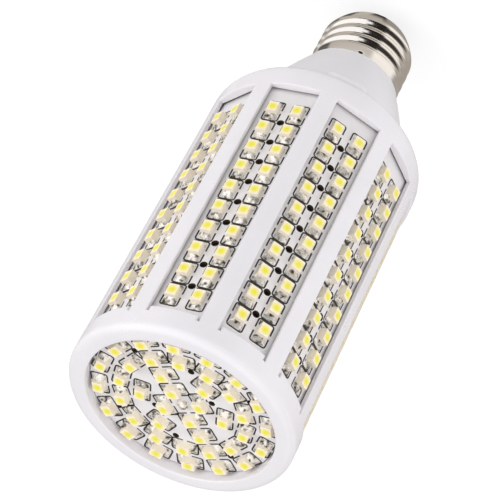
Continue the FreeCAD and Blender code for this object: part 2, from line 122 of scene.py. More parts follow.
class BulbSizes(bpy.types.PropertyGroup):
    """Sizes of what is finished here; the rest comes from the frame."""

    thread_pitch: length("Thread pitch", 3.63, "Distance from one thread crest to the next")
    thread_depth: length("Thread depth", 1.05, "Height of the thread's crests above its roots")
    shell_wall: length("Shell wall", 0.3, "Thickness of the screw shell under the thread's roots")
    shell_end_radius: length("Shell end opening", 9.6, "Radius of the opening that holds the insulator")
    shell_end_height: length("Shell end height", 6.0, "Length over which the shell's end turns in")
    thread_start: length("Thread start", 6.95, "From the shell's end to the thread's first groove")
    thread_fade: length("Thread fade", 0.5, "Climb of the groove over which it reaches its full depth")
    thread_shift: length("Thread shift", 0.95, "How far the thread is slid towards the shell's end")
    skirt_height: length("Skirt height", 3.4, "Plain band between the thread and the collar")
    neck_rise: length("Neck rise", 0.5, "How far the plain band reaches into the collar's neck")
    skirt_inset: length("Skirt inset", 0.15, "How far the plain band lies inside the crests")
    crimp_depth: length("Crimp depth", 0.5, "Depth of the punched mark on the plain band")
    crimp_radius: length("Crimp radius", 0.5, "Half width of the punched mark")
    crimp_drop: length("Crimp drop", 0.5, "From the collar's edge to the middle of the punched mark")
    crimp_angle: angle("Crimp angle", 234.0, "Place of the punched mark round the axis")
    neck_lip: length("Neck lip", 0.85, "How far the collar stands out past the thread's crests")
    neck_rounding: length("Neck rounding", 0.9, "Rounding of the collar's neck end")
    collar_flange: length("Collar flange", 23.4, "Radius of the collar where it meets the cage")
    collar_bow: length("Collar bow", 0.5, "How far the collar's cone swells between its ends")
    collar_wall: length("Collar wall", 1.9, "Thickness of the collar's wall")
    latch_width: length("Latch width", 12.0, "Width of a latch tab along the joint")
    latch_height: length("Latch height", 4.3, "Height of a latch tab")
    latch_depth: length("Latch depth", 5.0, "Depth of a latch tab towards the axis")
    latch_proud: length("Latch reach", 1.2, "How far a latch tab stands out past the flange")
    latch_angle: angle("Latch angle", 49.5, "Place of the first latch tab round the axis")
    shoulder_rounding: length("Shoulder rounding", 5.0, "Rounding between the cage's base and its side")
    base_land: length("Base land", 2.3, "Flat ring round the opening in the cage's base")
    window_lap: length("Window lap", 0.6, "How far a strip reaches under the edge of its window")
    window_base_margin: length("Window base margin", 8.1, "From the first LED row to the window's base end")
    window_front_margin: length("Window front margin", 6.3, "From the last LED row to the window's front end")
    window_rounding: length("Window rounding", 0.35, "Rounding of the windows' outer edges")
    relief_width: length("Relief width", 0.6, "Width of the slits at a window's front corners")
    relief_length: length("Relief length", 1.4, "Length of the slits at a window's front corners")
    seat_gap: length("Seat gap", 0.6, "Shadow gap between a strip and the foot of its window")
    rail_stem: length("Rail stem", 1.2, "Thickness of the rails between the strips")
    rail_head: length("Rail head", 4.4, "Width of the rails' heads behind the strips")
    ring_rounding: length("Ring rounding", 2.0, "Rounding of the front ring's outer edge")
    ring_lip: length("Ring lip rounding", 0.45, "Rounding of the front ring's inner edge")
    ring_opening: length("Ring opening", 24.8, "Radius of the opening in front of the end board")
    seat_width: length("Seat width", 2.2, "Width of the ledge that carries the end board")
    led_width: length("LED width", 2.8, "Short side of an LED package")
    led_length: length("LED length", 3.5, "Long side of an LED package")
    lens_radius: length("Lens radius", 1.37, "Radius of the phosphor disc")
    pad_width: length("Pad width", 3.5, "Width of the solder pads")
    pad_end: length("Pad end", 3.3, "From the middle of an LED to the end of its pads")
    joint_rise: length("Joint rise", 1.0, "Height of the solder against the end of an LED")
    outline_width: length("Outline width", 4.3, "Width of the printed outline round an LED")
    outline_length: length("Outline length", 7.0, "Length of the printed outline round an LED")
    outline_gap: length("Outline gap", 1.1, "Break in the middle of the outline's sides")
    outline_corner: length("Outline corner", 0.6, "Corner radius of the printed outline")
    ink_width: length("Ink width", 0.40, "Width of the printed lines")
    ink_height: length("Ink height", 0.03, "Thickness of the ink on the board")
    strip_via: length("Strip hole", 1.0, "Radius of the holes through the strips")
    end_via: length("End hole", 0.87, "Radius of the holes through the end board")
    via_cell: length("Via cell", 3.2, "Side of the patch of board that surrounds a hole")
    end_turn: angle("End board turn", 1.6, "How far the end board is turned from strip 1")
    centre_ring: length("Centre ring", 5.2, "Radius of the innermost ring of LEDs")
    outer_ring_margin: length("Outer ring margin", 2.45, "From the outer ring of LEDs to the board's edge")


class BulbColours(bpy.types.PropertyGroup):
    """Base colours of the finishes."""

    white_plastic: colour("White plastic", (0.845, 0.82, 0.855), "Cage and front ring")
    # Painted shade: the seats are white plastic, coloured near black for the shade in the gap behind the
    # strips' edges
    seat: colour("Seat", (0.03, 0.03, 0.03), "Cage behind the strips' edges")
    collar_plastic: colour("Collar plastic", (0.805, 0.79, 0.815), "Neck collar")
    nickel: colour("Nickel", (0.83, 0.79, 0.74), "Screw shell")
    contact: colour("Contact", (0.55, 0.51, 0.45), "Centre contact")
    glass: colour("Glass", (0.012, 0.011, 0.012), "Insulator")
    board: colour("Board", (0.835, 0.81, 0.825), "White boards")
    # Bore walls: the laminate's own brown, darkened as painted shade for the dim inside of the holes
    bore: colour("Bore", (0.08, 0.055, 0.03), "Walls of the holes through the boards")
    package: colour("Package", (0.98, 0.885, 0.72), "Body of the LEDs")
    phosphor: colour("Phosphor", (0.92, 0.83, 0.06), "Middle of the LEDs")
    solder: colour("Solder", (0.95, 0.90, 0.83), "Solder and tinned metal")
    ink: colour("Ink", (0.030, 0.028, 0.026), "Printed outlines")
    laminate: colour("Laminate", (0.36, 0.22, 0.08), "Driver board")
    film: colour("Film capacitor", (0.33, 0.05, 0.03), "Case of the film capacitor")
    black_body: colour("Black body", (0.02, 0.02, 0.022), "Bridge rectifier and resistor")
    can: colour("Can", (0.03, 0.05, 0.16), "Sleeve of the smoothing capacitor")
    sleeve: colour("Sleeve", (0.55, 0.03, 0.025), "Insulation of the wires")


class StudioSettings(bpy.types.PropertyGroup):
    """Light and camera."""

    sky: FloatProperty(
        name="Sky",
        description="Strength of the even light",
        default=0.78,
        min=0.0,
        soft_max=1.0,
        subtype="FACTOR",
    )
    key_power: power("Key", 2.95, "Power of the large soft lamp on the right")
    fill_power: power("Fill", 2.25, "Power of the large soft lamp on the left")
    top_power: power("Top", 0.4, "Power of the lamp above")
    focal_length: FloatProperty(
        name="Lens", description="Focal length of the camera", default=164.68, min=1.0, unit="CAMERA"
    )
    roll: angle("Roll", 152.25, "Turn of the camera about its own axis")


# Grids and sections

def grid_quads(rows, columns, closed_rows=False, closed_columns=False):
    """Quads between the points of a grid in reading order; a closed direction joins its end to its start."""
    row = np.arange(rows if closed_rows else rows - 1)[:, None]
    column = np.arange(columns if closed_columns else columns - 1)[None, :]
    below = (row + 1) % rows
    beside = (column + 1) % columns
    corners = (
        row * columns + column,
        row * columns + beside,
        below * columns + beside,
        below * columns + column,
    )
    return np.stack(np.broadcast_arrays(*corners), axis=-1).reshape(-1, 4)


def border(index):
    """Entries round the edge of a grid of point numbers, in order."""
    return np.concatenate([index[0, :-1], index[:-1, -1], index[-1, :0:-1], index[:0:-1, 0]])


def wall_quads(loop, count):
    """Quads from a closed loop of point numbers to the same loop a count further on."""
    ahead = np.roll(loop, -1)
    return np.stack([loop, ahead, ahead + count, loop + count], axis=1)


def smooth_step(value, start, end):
    """Goes from 0 at start to 1 at end as 3 s^2 - 2 s^3."""
    s = np.clip((value - start) / (end - start), 0.0, 1.0)
    return s * s * (3 - 2 * s)


def turn_points(points, turn):
    """Points turned about the axis: (x cos a - y sin a, x sin a + y cos a, z)."""
    x, y, z = np.moveaxis(points, -1, 0)
    parts = (x * np.cos(turn) - y * np.sin(turn), x * np.sin(turn) + y * np.cos(turn), z)
    return np.stack(np.broadcast_arrays(*parts), axis=-1)


def round_angles(columns=COLUMNS):
    """Angles of columns spaced evenly all the way round."""
    return np.arange(columns) * TURN / columns


def corner(radius, level, flat=False):
    """One row of a section: a radius, a level, and 1 for a flat-sided row."""
    return np.array([[radius, level, float(flat)]])


def round_rows(radius, level):
    """Rows of a section from matching radii and levels."""
    radius, level = np.broadcast_arrays(radius, level)
    return np.stack([radius, level, np.zeros(radius.shape)], axis=1)


def arc(centre, level, radius, start, end, steps):
    """Section rows on an arc: (centre + radius cos a, level + radius sin a), with a from start to end in
    degrees."""
    a = np.radians(np.linspace(start, end, steps + 1))
    return round_rows(centre + radius * np.cos(a), level + radius * np.sin(a))


def section_points(section, t):
    """Section rows carried to the angles t round the axis: (r cos t, r sin t, z). In a flat-sided row r grows
    by 1 / cos of the angle from the nearest strip's middle, which makes one flat for each strip."""
    from_flat = (t + SECTOR / 2) % SECTOR - SECTOR / 2
    reach, level, flat = section.T[:, :, None]
    radius = reach * np.where(flat > 0, 1 / np.cos(from_flat), 1.0)
    parts = np.broadcast_arrays(radius * np.cos(t), radius * np.sin(t), level)
    return np.stack(parts, axis=-1)


def turned(*parts, closed=True):
    """Island turned from the parts of a section that runs up the outside. A section that isn't closed starts
    and ends on the axis."""
    section = np.vstack(parts)
    points = section_points(section, round_angles())
    return points.reshape(-1, 3), [grid_quads(len(section), COLUMNS, closed, True)]


def prism(outline, low, high):
    """Island between two levels over a plane outline of (x, y) corners."""
    count = len(outline)
    levels = np.repeat([low, high], count)[:, None]
    points = np.hstack([np.tile(outline, (2, 1)), levels])
    ring = np.arange(count)
    return points, [grid_quads(2, count, False, True), ring[None, ::-1], ring[None] + count]


def box_outline(middle, width, depth):
    """Corners of a rectangle centred at (middle, 0)."""
    x, y = depth / 2, width / 2
    return np.array([[middle - x, -y], [middle + x, -y], [middle + x, y], [middle - x, y]])


def repeat_island(island, angles):
    """Copies of an island turned about the axis."""
    points, faces = island
    copies = turn_points(points[None], np.asarray(angles)[:, None])
    shift = np.arange(len(angles))[:, None, None] * len(points)
    return copies.reshape(-1, 3), [(group[None] + shift).reshape(-1, group.shape[1]) for group in faces]


def place_islands(points, faces, origins, across, along, up):
    """Copies of an island with its own axes laid along three directions at each origin:
    origin + u across + v along + h up."""
    axes = np.stack([across, along, up], axis=1)
    copies = origins[:, None] + points @ axes
    shift = np.arange(len(origins))[:, None, None] * points.shape[-2]
    return copies.reshape(-1, 3), [(group[None] + shift).reshape(-1, group.shape[1]) for group in faces]


def make_piece(name, islands, materials, replaces, from_centre=None):
    """Mesh object from islands of (points, face groups, material number), welded and facing outwards.
    from_centre is a value for each point that a material may read."""
    starts = np.cumsum([0] + [len(points) for points, _, _ in islands])
    faces = []
    numbers = []
    for start, (_, groups, number) in zip(starts, islands):
        for group in groups:
            faces.extend((group + start).tolist())
            numbers.extend([number] * len(group))
    mesh = bpy.data.meshes.new(name)
    mesh.from_pydata(np.vstack([points for points, _, _ in islands]), [], faces)
    mesh.polygons.foreach_set("material_index", numbers)
    if from_centre is not None:
        mesh.attributes.new("from_centre", "FLOAT", "POINT").data.foreach_set("value", from_centre)
    weld(mesh)
    mesh.polygons.foreach_set("use_smooth", np.ones(len(mesh.polygons), bool))
    mesh.set_sharp_from_angle(angle=SHARP_ANGLE)
    for material in materials:
        mesh.materials.append(material)
    piece = bpy.data.objects.new(name, mesh)
    bpy.context.scene.collection.objects.link(piece)
    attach(piece, BODY)
    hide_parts(*replaces)


def weld(mesh):
    """Merges points that coincide and turns the faces of each closed island outwards."""
    shell = bmesh.new()
    shell.from_mesh(mesh)
    bmesh.ops.remove_doubles(shell, verts=shell.verts, dist=WELD_DISTANCE)
    bmesh.ops.recalc_face_normals(shell, faces=shell.faces)
    shell.to_mesh(mesh)
    shell.free()
    mesh.update()


# Finishes

def new_group(name, inputs, outputs):
    """Shader node group with named sockets, given as (name, socket type, default)."""
    group = bpy.data.node_groups.new(name, "ShaderNodeTree")
    for label, kind, default in inputs:
        socket = group.interface.new_socket(name=label, in_out="INPUT", socket_type=f"NodeSocket{kind}")
        if default is not None:
            socket.default_value = default
    for label, kind in outputs:
        group.interface.new_socket(name=label, in_out="OUTPUT", socket_type=f"NodeSocket{kind}")
    return group, group.nodes.new("NodeGroupInput"), group.nodes.new("NodeGroupOutput")


def add_node(tree, kind, links=(), **settings):
    """Node with its settings; a link is (input, output socket) and a plain value is set on the input."""
    node = tree.nodes.new(f"ShaderNode{kind}")
    for key, value in settings.items():
        setattr(node, key, value)
    for key, source in links:
        if isinstance(source, bpy.types.NodeSocket):
            tree.links.new(source, node.inputs[key])
        else:
            node.inputs[key].default_value = source
    return node


def mix_colours(tree, share, first, second):
    """Colour between two others; sockets 6 and 7 of the node hold its colours, and output 2 is the result."""
    node = add_node(tree, "Mix", [(0, share), (6, first), (7, second)], data_type="RGBA")
    return node.outputs[2]


def grain_group():
    """Cloudy tint, uneven gloss and a fine grain, all from noise at a point."""
    if "surface_grain" in bpy.data.node_groups:
        return bpy.data.node_groups["surface_grain"]
    group, entry, result = new_group(
        "surface_grain",
        [
            ("Vector", "Vector", None),
            ("Colour", "Color", (0.8, 0.8, 0.8, 1.0)),
            ("Tint", "Color", (0.7, 0.7, 0.7, 1.0)),
            ("Cloud Scale", "Float", 90.0),
            ("Cloud Low", "Float", 0.0),
            ("Cloud High", "Float", 1.0),
            ("Grain Scale", "Float", 3000.0),
            ("Gloss", "Float", 0.3),
            ("Gloss Spread", "Float", 0.1),
        ],
        [("Colour", "Color"), ("Roughness", "Float"), ("Height", "Float")],
    )
    point = entry.outputs["Vector"]
    cloud = add_node(
        group, "TexNoise", [("Vector", point), ("Scale", entry.outputs["Cloud Scale"]), ("Detail", 3.0)]
    )
    grain = add_node(
        group, "TexNoise", [("Vector", point), ("Scale", entry.outputs["Grain Scale"]), ("Detail", 2.0)]
    )
    patches = add_node(
        group,
        "MapRange",
        [
            ("Value", cloud.outputs["Fac"]),
            ("From Min", entry.outputs["Cloud Low"]),
            ("From Max", entry.outputs["Cloud High"]),
        ],
    )
    tint = mix_colours(group, patches.outputs["Result"], entry.outputs["Colour"], entry.outputs["Tint"])
    uneven = add_node(group, "Math", [(0, cloud.outputs["Fac"]), (1, grain.outputs["Fac"])], operation="ADD")
    centred = add_node(group, "Math", [(0, uneven.outputs[0]), (1, 1.0)], operation="SUBTRACT")
    spread = add_node(
        group,
        "Math",
        [(0, centred.outputs[0]), (1, entry.outputs["Gloss Spread"]), (2, entry.outputs["Gloss"])],
        operation="MULTIPLY_ADD",
    )
    group.links.new(tint, result.inputs["Colour"])
    group.links.new(spread.outputs[0], result.inputs["Roughness"])
    group.links.new(grain.outputs["Fac"], result.inputs["Height"])
    return group


def finish(
    name, base, tint=None, gloss=0.3, spread=0.1, cloud=90.0, patches=(0.0, 1.0), grain=3000.0, bump=0.02,
    stretch=None, **sockets,
):
    """Principled material over the grain group. Patches are the noise values between which the tint comes in,
    stretch scales the pattern along X, Y and Z, and the rest is set on the shader's own sockets."""
    if name in bpy.data.materials:
        return bpy.data.materials[name]
    material = bpy.data.materials.new(name)
    material.use_nodes = True
    tree = material.node_tree
    shader = tree.nodes["Principled BSDF"]
    place = add_node(tree, "TexCoord").outputs["Object"]
    if stretch:
        place = add_node(tree, "Mapping", [("Vector", place), ("Scale", stretch)]).outputs["Vector"]
    tint = tint or [part * CLOUD_TINT for part in base]
    pattern = add_node(
        tree,
        "Group",
        [
            ("Vector", place),
            ("Colour", (*base, 1.0)),
            ("Tint", (*tint, 1.0)),
            ("Cloud Scale", cloud),
            ("Cloud Low", patches[0]),
            ("Cloud High", patches[1]),
            ("Grain Scale", grain),
            ("Gloss", gloss),
            ("Gloss Spread", spread),
        ],
        node_tree=grain_group(),
    )
    relief = add_node(
        tree, "Bump", [("Strength", bump), ("Distance", BUMP_HEIGHT), ("Height", pattern.outputs["Height"])]
    )
    tree.links.new(pattern.outputs["Colour"], shader.inputs["Base Color"])
    tree.links.new(pattern.outputs["Roughness"], shader.inputs["Roughness"])
    tree.links.new(relief.outputs["Normal"], shader.inputs["Normal"])
    for label, value in sockets.items():
        shader.inputs[label.replace("_", " ")].default_value = value
    return material


def white_plastic(colours):
    return finish("moulded_white", colours.white_plastic, gloss=0.30, spread=0.12, cloud=70.0, bump=0.05)


def painted_seat_shade(colours):
    """Painted shade on the seats behind the strips' edges: the white plastic there is coloured near black for
    the shade in the gap, which hardly any light reaches.
    """
    return finish("shaded_seat", colours.seat, gloss=0.5, spread=0.2, cloud=70.0, bump=0.05)


def collar_plastic(colours):
    return finish("moulded_collar", colours.collar_plastic, gloss=0.45, spread=0.15, cloud=50.0, bump=0.10)


def nickel_plate(colours):
    return finish(
        "plated_nickel", colours.nickel, gloss=0.14, spread=0.12, cloud=120.0, grain=900.0, bump=0.10,
        stretch=(0.25, 0.25, 6.0), Metallic=1.0,
    )


def contact_metal(colours):
    return finish(
        "tinned_contact", colours.contact, gloss=0.28, spread=0.25, cloud=300.0, bump=0.2, Metallic=1.0
    )


def black_glass(colours):
    return finish("fused_glass", colours.glass, gloss=0.14, spread=0.1, cloud=200.0, bump=0.05)


def white_board(colours):
    return finish(
        "masked_board", colours.board, gloss=0.38, spread=0.15, cloud=160.0, grain=2500.0, bump=0.08
    )


# Painted shade: the bores are darkened past the laminate's own brown for the dim inside of the holes
def painted_shade_bore(colours):
    return finish("drilled_bore", colours.bore, gloss=0.6, spread=0.2, cloud=800.0, bump=0.1)


def led_package(colours):
    return finish("led_housing", colours.package, gloss=0.42, spread=0.15, cloud=250.0, bump=0.05)


def solder(colours):
    return finish(
        "tinned_solder", colours.solder, tint=(0.07, 0.055, 0.04), gloss=0.30, spread=0.2, cloud=900.0,
        patches=(0.46, 0.66), grain=1800.0, bump=0.8, Metallic=0.5,
    )


def printed_ink(colours):
    return finish("outline_ink", colours.ink, gloss=0.55, spread=0.2, cloud=900.0, bump=0.1)


# Shares of the lens's radius at which its yellow starts to pale and would reach the package's colour
LENS_FADE = (0.34, 1.45)


def phosphor(colours):
    """Yellow silicone that pales towards its rim, read from the distance from the lens's middle."""
    material = finish("phosphor_gel", colours.phosphor, gloss=0.3, spread=0.1, cloud=700.0, bump=0.03)
    tree = material.node_tree
    if "rim" in tree.nodes:
        return material
    shader = tree.nodes["Principled BSDF"]
    yellow = shader.inputs["Base Color"].links[0].from_socket
    reach = add_node(tree, "Attribute", attribute_name="from_centre")
    yellow_until, pale_from = LENS_FADE
    rim = add_node(
        tree,
        "MapRange",
        [("Value", reach.outputs["Fac"]), ("From Min", yellow_until), ("From Max", pale_from)],
        name="rim",
    )
    pale = mix_colours(tree, rim.outputs["Result"], yellow, (*colours.package, 1.0))
    tree.links.new(pale, shader.inputs["Base Color"])
    return material


# Pieces

def led_rows(sizes):
    """Levels of the middles of a strip's LED rows."""
    half = sizes.led_length / 2
    return np.linspace(LEDS_LOW[2] + half, LEDS_HIGH[2] - half, LED_ROWS)


class BulbOperator:
    """What every building operator shares."""

    bl_options = {"REGISTER"}

    def settings(self, context):
        return context.scene.bulb_sizes, context.scene.bulb_colours


class BULB_OT_screw_base(BulbOperator, bpy.types.Operator):
    """Threaded shell, glass insulator and centre contact"""

    bl_idname = "bulb.screw_base"
    bl_label = "Screw base"

    SHELL_COLUMNS = 240
    THREAD_ROWS = 120
    THREAD_RUN_OUT = 0.8 * MM
    END_ROWS = 14
    END_POWER = 1.25
    END_LIP = 2.0 * MM
    TIP_STEPS = 8
    GLASS_ROWS = 8
    GLASS_RIM = 0.6 * MM
    GLASS_HOLLOW = 0.45 * MM

    def execute(self, context):
        sizes, colours = self.settings(context)
        self.shell(sizes, colours)
        self.contact(colours)
        self.insulator(sizes, colours)
        return {"FINISHED"}

    def contact(self, colours):
        """Disc with a rounded edge, turned from a quarter arc."""
        height = CONTACT_HIGH[2] - CONTACT_LOW[2]
        disc = turned(
            corner(0, CONTACT_LOW[2]),
            arc(CONTACT_HIGH[0] - height, CONTACT_HIGH[2], height, -90, 0, self.TIP_STEPS),
            corner(0, CONTACT_HIGH[2]),
            closed=False,
        )
        make_piece("contact", [(*disc, 0)], [contact_metal(colours)], ["centre_contact"])

    def insulator(self, sizes, colours):
        """Hollow-sided cone from the contact to the shell's opening, r = line - hollow sin(pi s) with s
        from 0 to 1, on a plug with one flat for each strip."""
        base, seat, opening = CONTACT_HIGH[2], SHELL_LOW[2], sizes.shell_end_radius
        rim = CONTACT_HIGH[0] + self.GLASS_RIM
        plug = opening * math.cos(SECTOR / 2)
        s = np.linspace(0, 1, self.GLASS_ROWS + 1)[1:]
        hollow = self.GLASS_HOLLOW * np.sin(np.pi * s)
        glass = turned(
            corner(0, base),
            corner(rim, base),
            round_rows(rim + (opening - rim) * s - hollow, base + (seat - base) * s),
            corner(plug, seat, True),
            corner(plug, INSULATOR_HIGH[2], True),
            corner(0, INSULATOR_HIGH[2]),
            closed=False,
        )
        make_piece("insulator", [(*glass, 0)], [black_glass(colours)], ["contact_insulator"])

    def shell(self, sizes, colours):
        """The radius is crest - depth (1 - cos 2 pi f) / 2, where f = (z + shift) / pitch - t / turn climbs
        with the angle t. The end turns in along (x / a)^p + (z / b)^p = 1 with p a little over 1, nearly a
        cone. The groove fades in where its bottom leaves that end, and it runs out into the plain band."""
        crest = SHELL_HIGH[0]
        root = crest - sizes.thread_depth
        low, high = SHELL_LOW[2], SHELL_HIGH[2] + sizes.neck_rise
        bore = root - sizes.shell_wall
        band = high - sizes.skirt_height
        opening, end_height = sizes.shell_end_radius, sizes.shell_end_height
        a = np.linspace(math.pi / 2, 0, self.END_ROWS, endpoint=False)
        exponent = 2 / self.END_POWER
        section = np.vstack([
            round_rows(
                opening + (crest - opening) * np.cos(a) ** exponent,
                low + end_height - end_height * np.sin(a) ** exponent,
            ),
            round_rows(crest, np.linspace(low + end_height, high, self.THREAD_ROWS)),
            corner(bore, high),
            corner(bore, low + end_height),
            corner(opening, low + self.END_LIP),
        ])
        points = section_points(section, round_angles(self.SHELL_COLUMNS))
        x, y, z = np.moveaxis(points, -1, 0)
        t = np.arctan2(y, x)
        climb = (z + sizes.thread_shift) / sizes.thread_pitch - t / TURN
        groove = 0.5 - 0.5 * np.cos(TURN * climb)
        bottom = (np.floor(climb) + 0.5 + t / TURN) * sizes.thread_pitch - sizes.thread_shift
        start = smooth_step(bottom, low + sizes.thread_start, low + sizes.thread_start + sizes.thread_fade)
        plain = smooth_step(z, band - self.THREAD_RUN_OUT, band)
        radius = np.hypot(x, y) - sizes.thread_depth * groove * start
        radius = radius * (1 - plain) + (crest - sizes.skirt_inset) * plain
        beside = (t - sizes.crimp_angle + math.pi) % TURN - math.pi
        away = ((beside * crest) ** 2 + (z - high + sizes.crimp_drop) ** 2) / sizes.crimp_radius ** 2
        away = np.where(np.hypot(x, y) > root, away, np.inf)
        radius = radius - sizes.crimp_depth * np.exp(-away)
        outer = slice(1, self.END_ROWS + self.THREAD_ROWS)
        points[outer, :, 0] = (radius * np.cos(t))[outer]
        points[outer, :, 1] = (radius * np.sin(t))[outer]
        quads = grid_quads(len(section), self.SHELL_COLUMNS, True, True)
        points = points.reshape(-1, 3)
        # Painted shade: the quads inside the punched mark take the near-black glass finish for the shade in
        # its dimple
        punched = away.ravel()[quads].mean(axis=1) < 1
        islands = [(points, [quads[~punched]], 0), (points, [quads[punched]], 1)]
        materials = [nickel_plate(colours), black_glass(colours)]
        make_piece("threaded_shell", islands, materials, ["screw_shell"])


class BULB_OT_collar(BulbOperator, bpy.types.Operator):
    """Bowed cone between the screw base and the cage, with its spigots, hooks and latch tabs"""

    bl_idname = "bulb.collar"
    bl_label = "Neck collar"

    CONE_ROWS = 24
    LIP_STEPS = 5
    NECK_PLAY = 0.1 * MM
    NECK_WALL = 2.0 * MM
    NECK_FLOOR = 2.5 * MM
    SPIGOT_PLAY = 0.2 * MM
    SPIGOT_WALL = 1.6 * MM
    HOOKS = 5
    HOOK_WIDTH = 6.0 * MM
    HOOK_DEPTH = 2.6 * MM
    HOOK_INSET = 0.3 * MM
    LATCHES = 2
    LATCH_GRID = (13, 40)
    LATCH_POWER = 0.55

    def execute(self, context):
        sizes, colours = self.settings(context)
        joint, top = CAGE_LOW[2], COLLAR_HIGH[2]
        spigot_corner = CAGE_HIGH[0] - sizes.shoulder_rounding - sizes.base_land
        spigot = spigot_corner * math.cos(SECTOR / 2) - self.SPIGOT_PLAY
        hook_outline = box_outline(spigot - self.HOOK_INSET, self.HOOK_WIDTH, self.HOOK_DEPTH)
        hooks = repeat_island(prism(hook_outline, BOARD_LOW[2], top), round_angles(self.HOOKS))
        tabs = repeat_island(self.latch(sizes, joint), sizes.latch_angle + round_angles(self.LATCHES))
        islands = [(*self.body(sizes, spigot, joint, top), 0), (*hooks, 0), (*tabs, 1)]
        materials = [collar_plastic(colours), white_plastic(colours)]
        make_piece("collar", islands, materials, ["neck_collar"])
        return {"FINISHED"}

    def body(self, sizes, spigot, joint, top):
        """Cone with a rounded neck end, r = line + bow sin(pi s) with s from 0 at the neck to 1 at the
        joint, between two hollow spigots with one flat for each strip."""
        base = SHELL_HIGH[2] + sizes.neck_rise
        neck = SHELL_HIGH[0] + sizes.neck_lip
        cosine = math.cos(SECTOR / 2)
        shell_bore = SHELL_HIGH[0] - sizes.thread_depth - sizes.shell_wall
        neck_spigot = (shell_bore - self.NECK_PLAY) * cosine
        neck_bore = neck_spigot - self.NECK_WALL
        cavity = (neck - sizes.collar_wall) * cosine
        wide = (cavity + spigot - self.SPIGOT_WALL) / 2
        floor = base + self.NECK_FLOOR
        step = (floor + joint) / 2
        rounding = sizes.neck_rounding
        s = np.linspace(0, 1, self.CONE_ROWS + 1)[1:]
        cone = round_rows(
            neck + (sizes.collar_flange - neck) * s + sizes.collar_bow * np.sin(np.pi * s),
            base + rounding + (joint - base - rounding) * s,
        )
        return turned(
            corner(neck_spigot, COLLAR_LOW[2], True),
            corner(neck_spigot, base, True),
            arc(neck - rounding, base + rounding, rounding, -90, 0, self.LIP_STEPS),
            cone,
            corner(spigot, joint, True),
            corner(spigot, top, True),
            corner(wide, top, True),
            corner(wide, step, True),
            corner(cavity, step, True),
            corner(cavity, floor, True),
            corner(neck_bore, floor, True),
            corner(neck_bore, COLLAR_LOW[2], True),
        )

    def latch(self, sizes, joint):
        """Rounded slab: (a C(u) C(v), b C(u) S(v), c S(u)), where C and S are the cosine and sine raised to a
        small power, which squares the curve up."""
        rows, columns = self.LATCH_GRID
        u = np.linspace(-math.pi / 2, math.pi / 2, rows)[:, None]
        v = round_angles(columns)[None, :]
        cosine_u, sine_u, cosine_v, sine_v = (
            np.sign(wave) * np.abs(wave) ** self.LATCH_POWER
            for wave in (np.cos(u), np.sin(u), np.cos(v), np.sin(v))
        )
        x = sizes.collar_flange + sizes.latch_proud + sizes.latch_depth / 2 * (cosine_u * cosine_v - 1)
        y = sizes.latch_width / 2 * cosine_u * sine_v
        z = joint + sizes.latch_height / 2 * (sine_u - 1)
        points = np.stack(np.broadcast_arrays(x, y, z), axis=-1)
        return points.reshape(-1, 3), [grid_quads(rows, columns, False, True)]


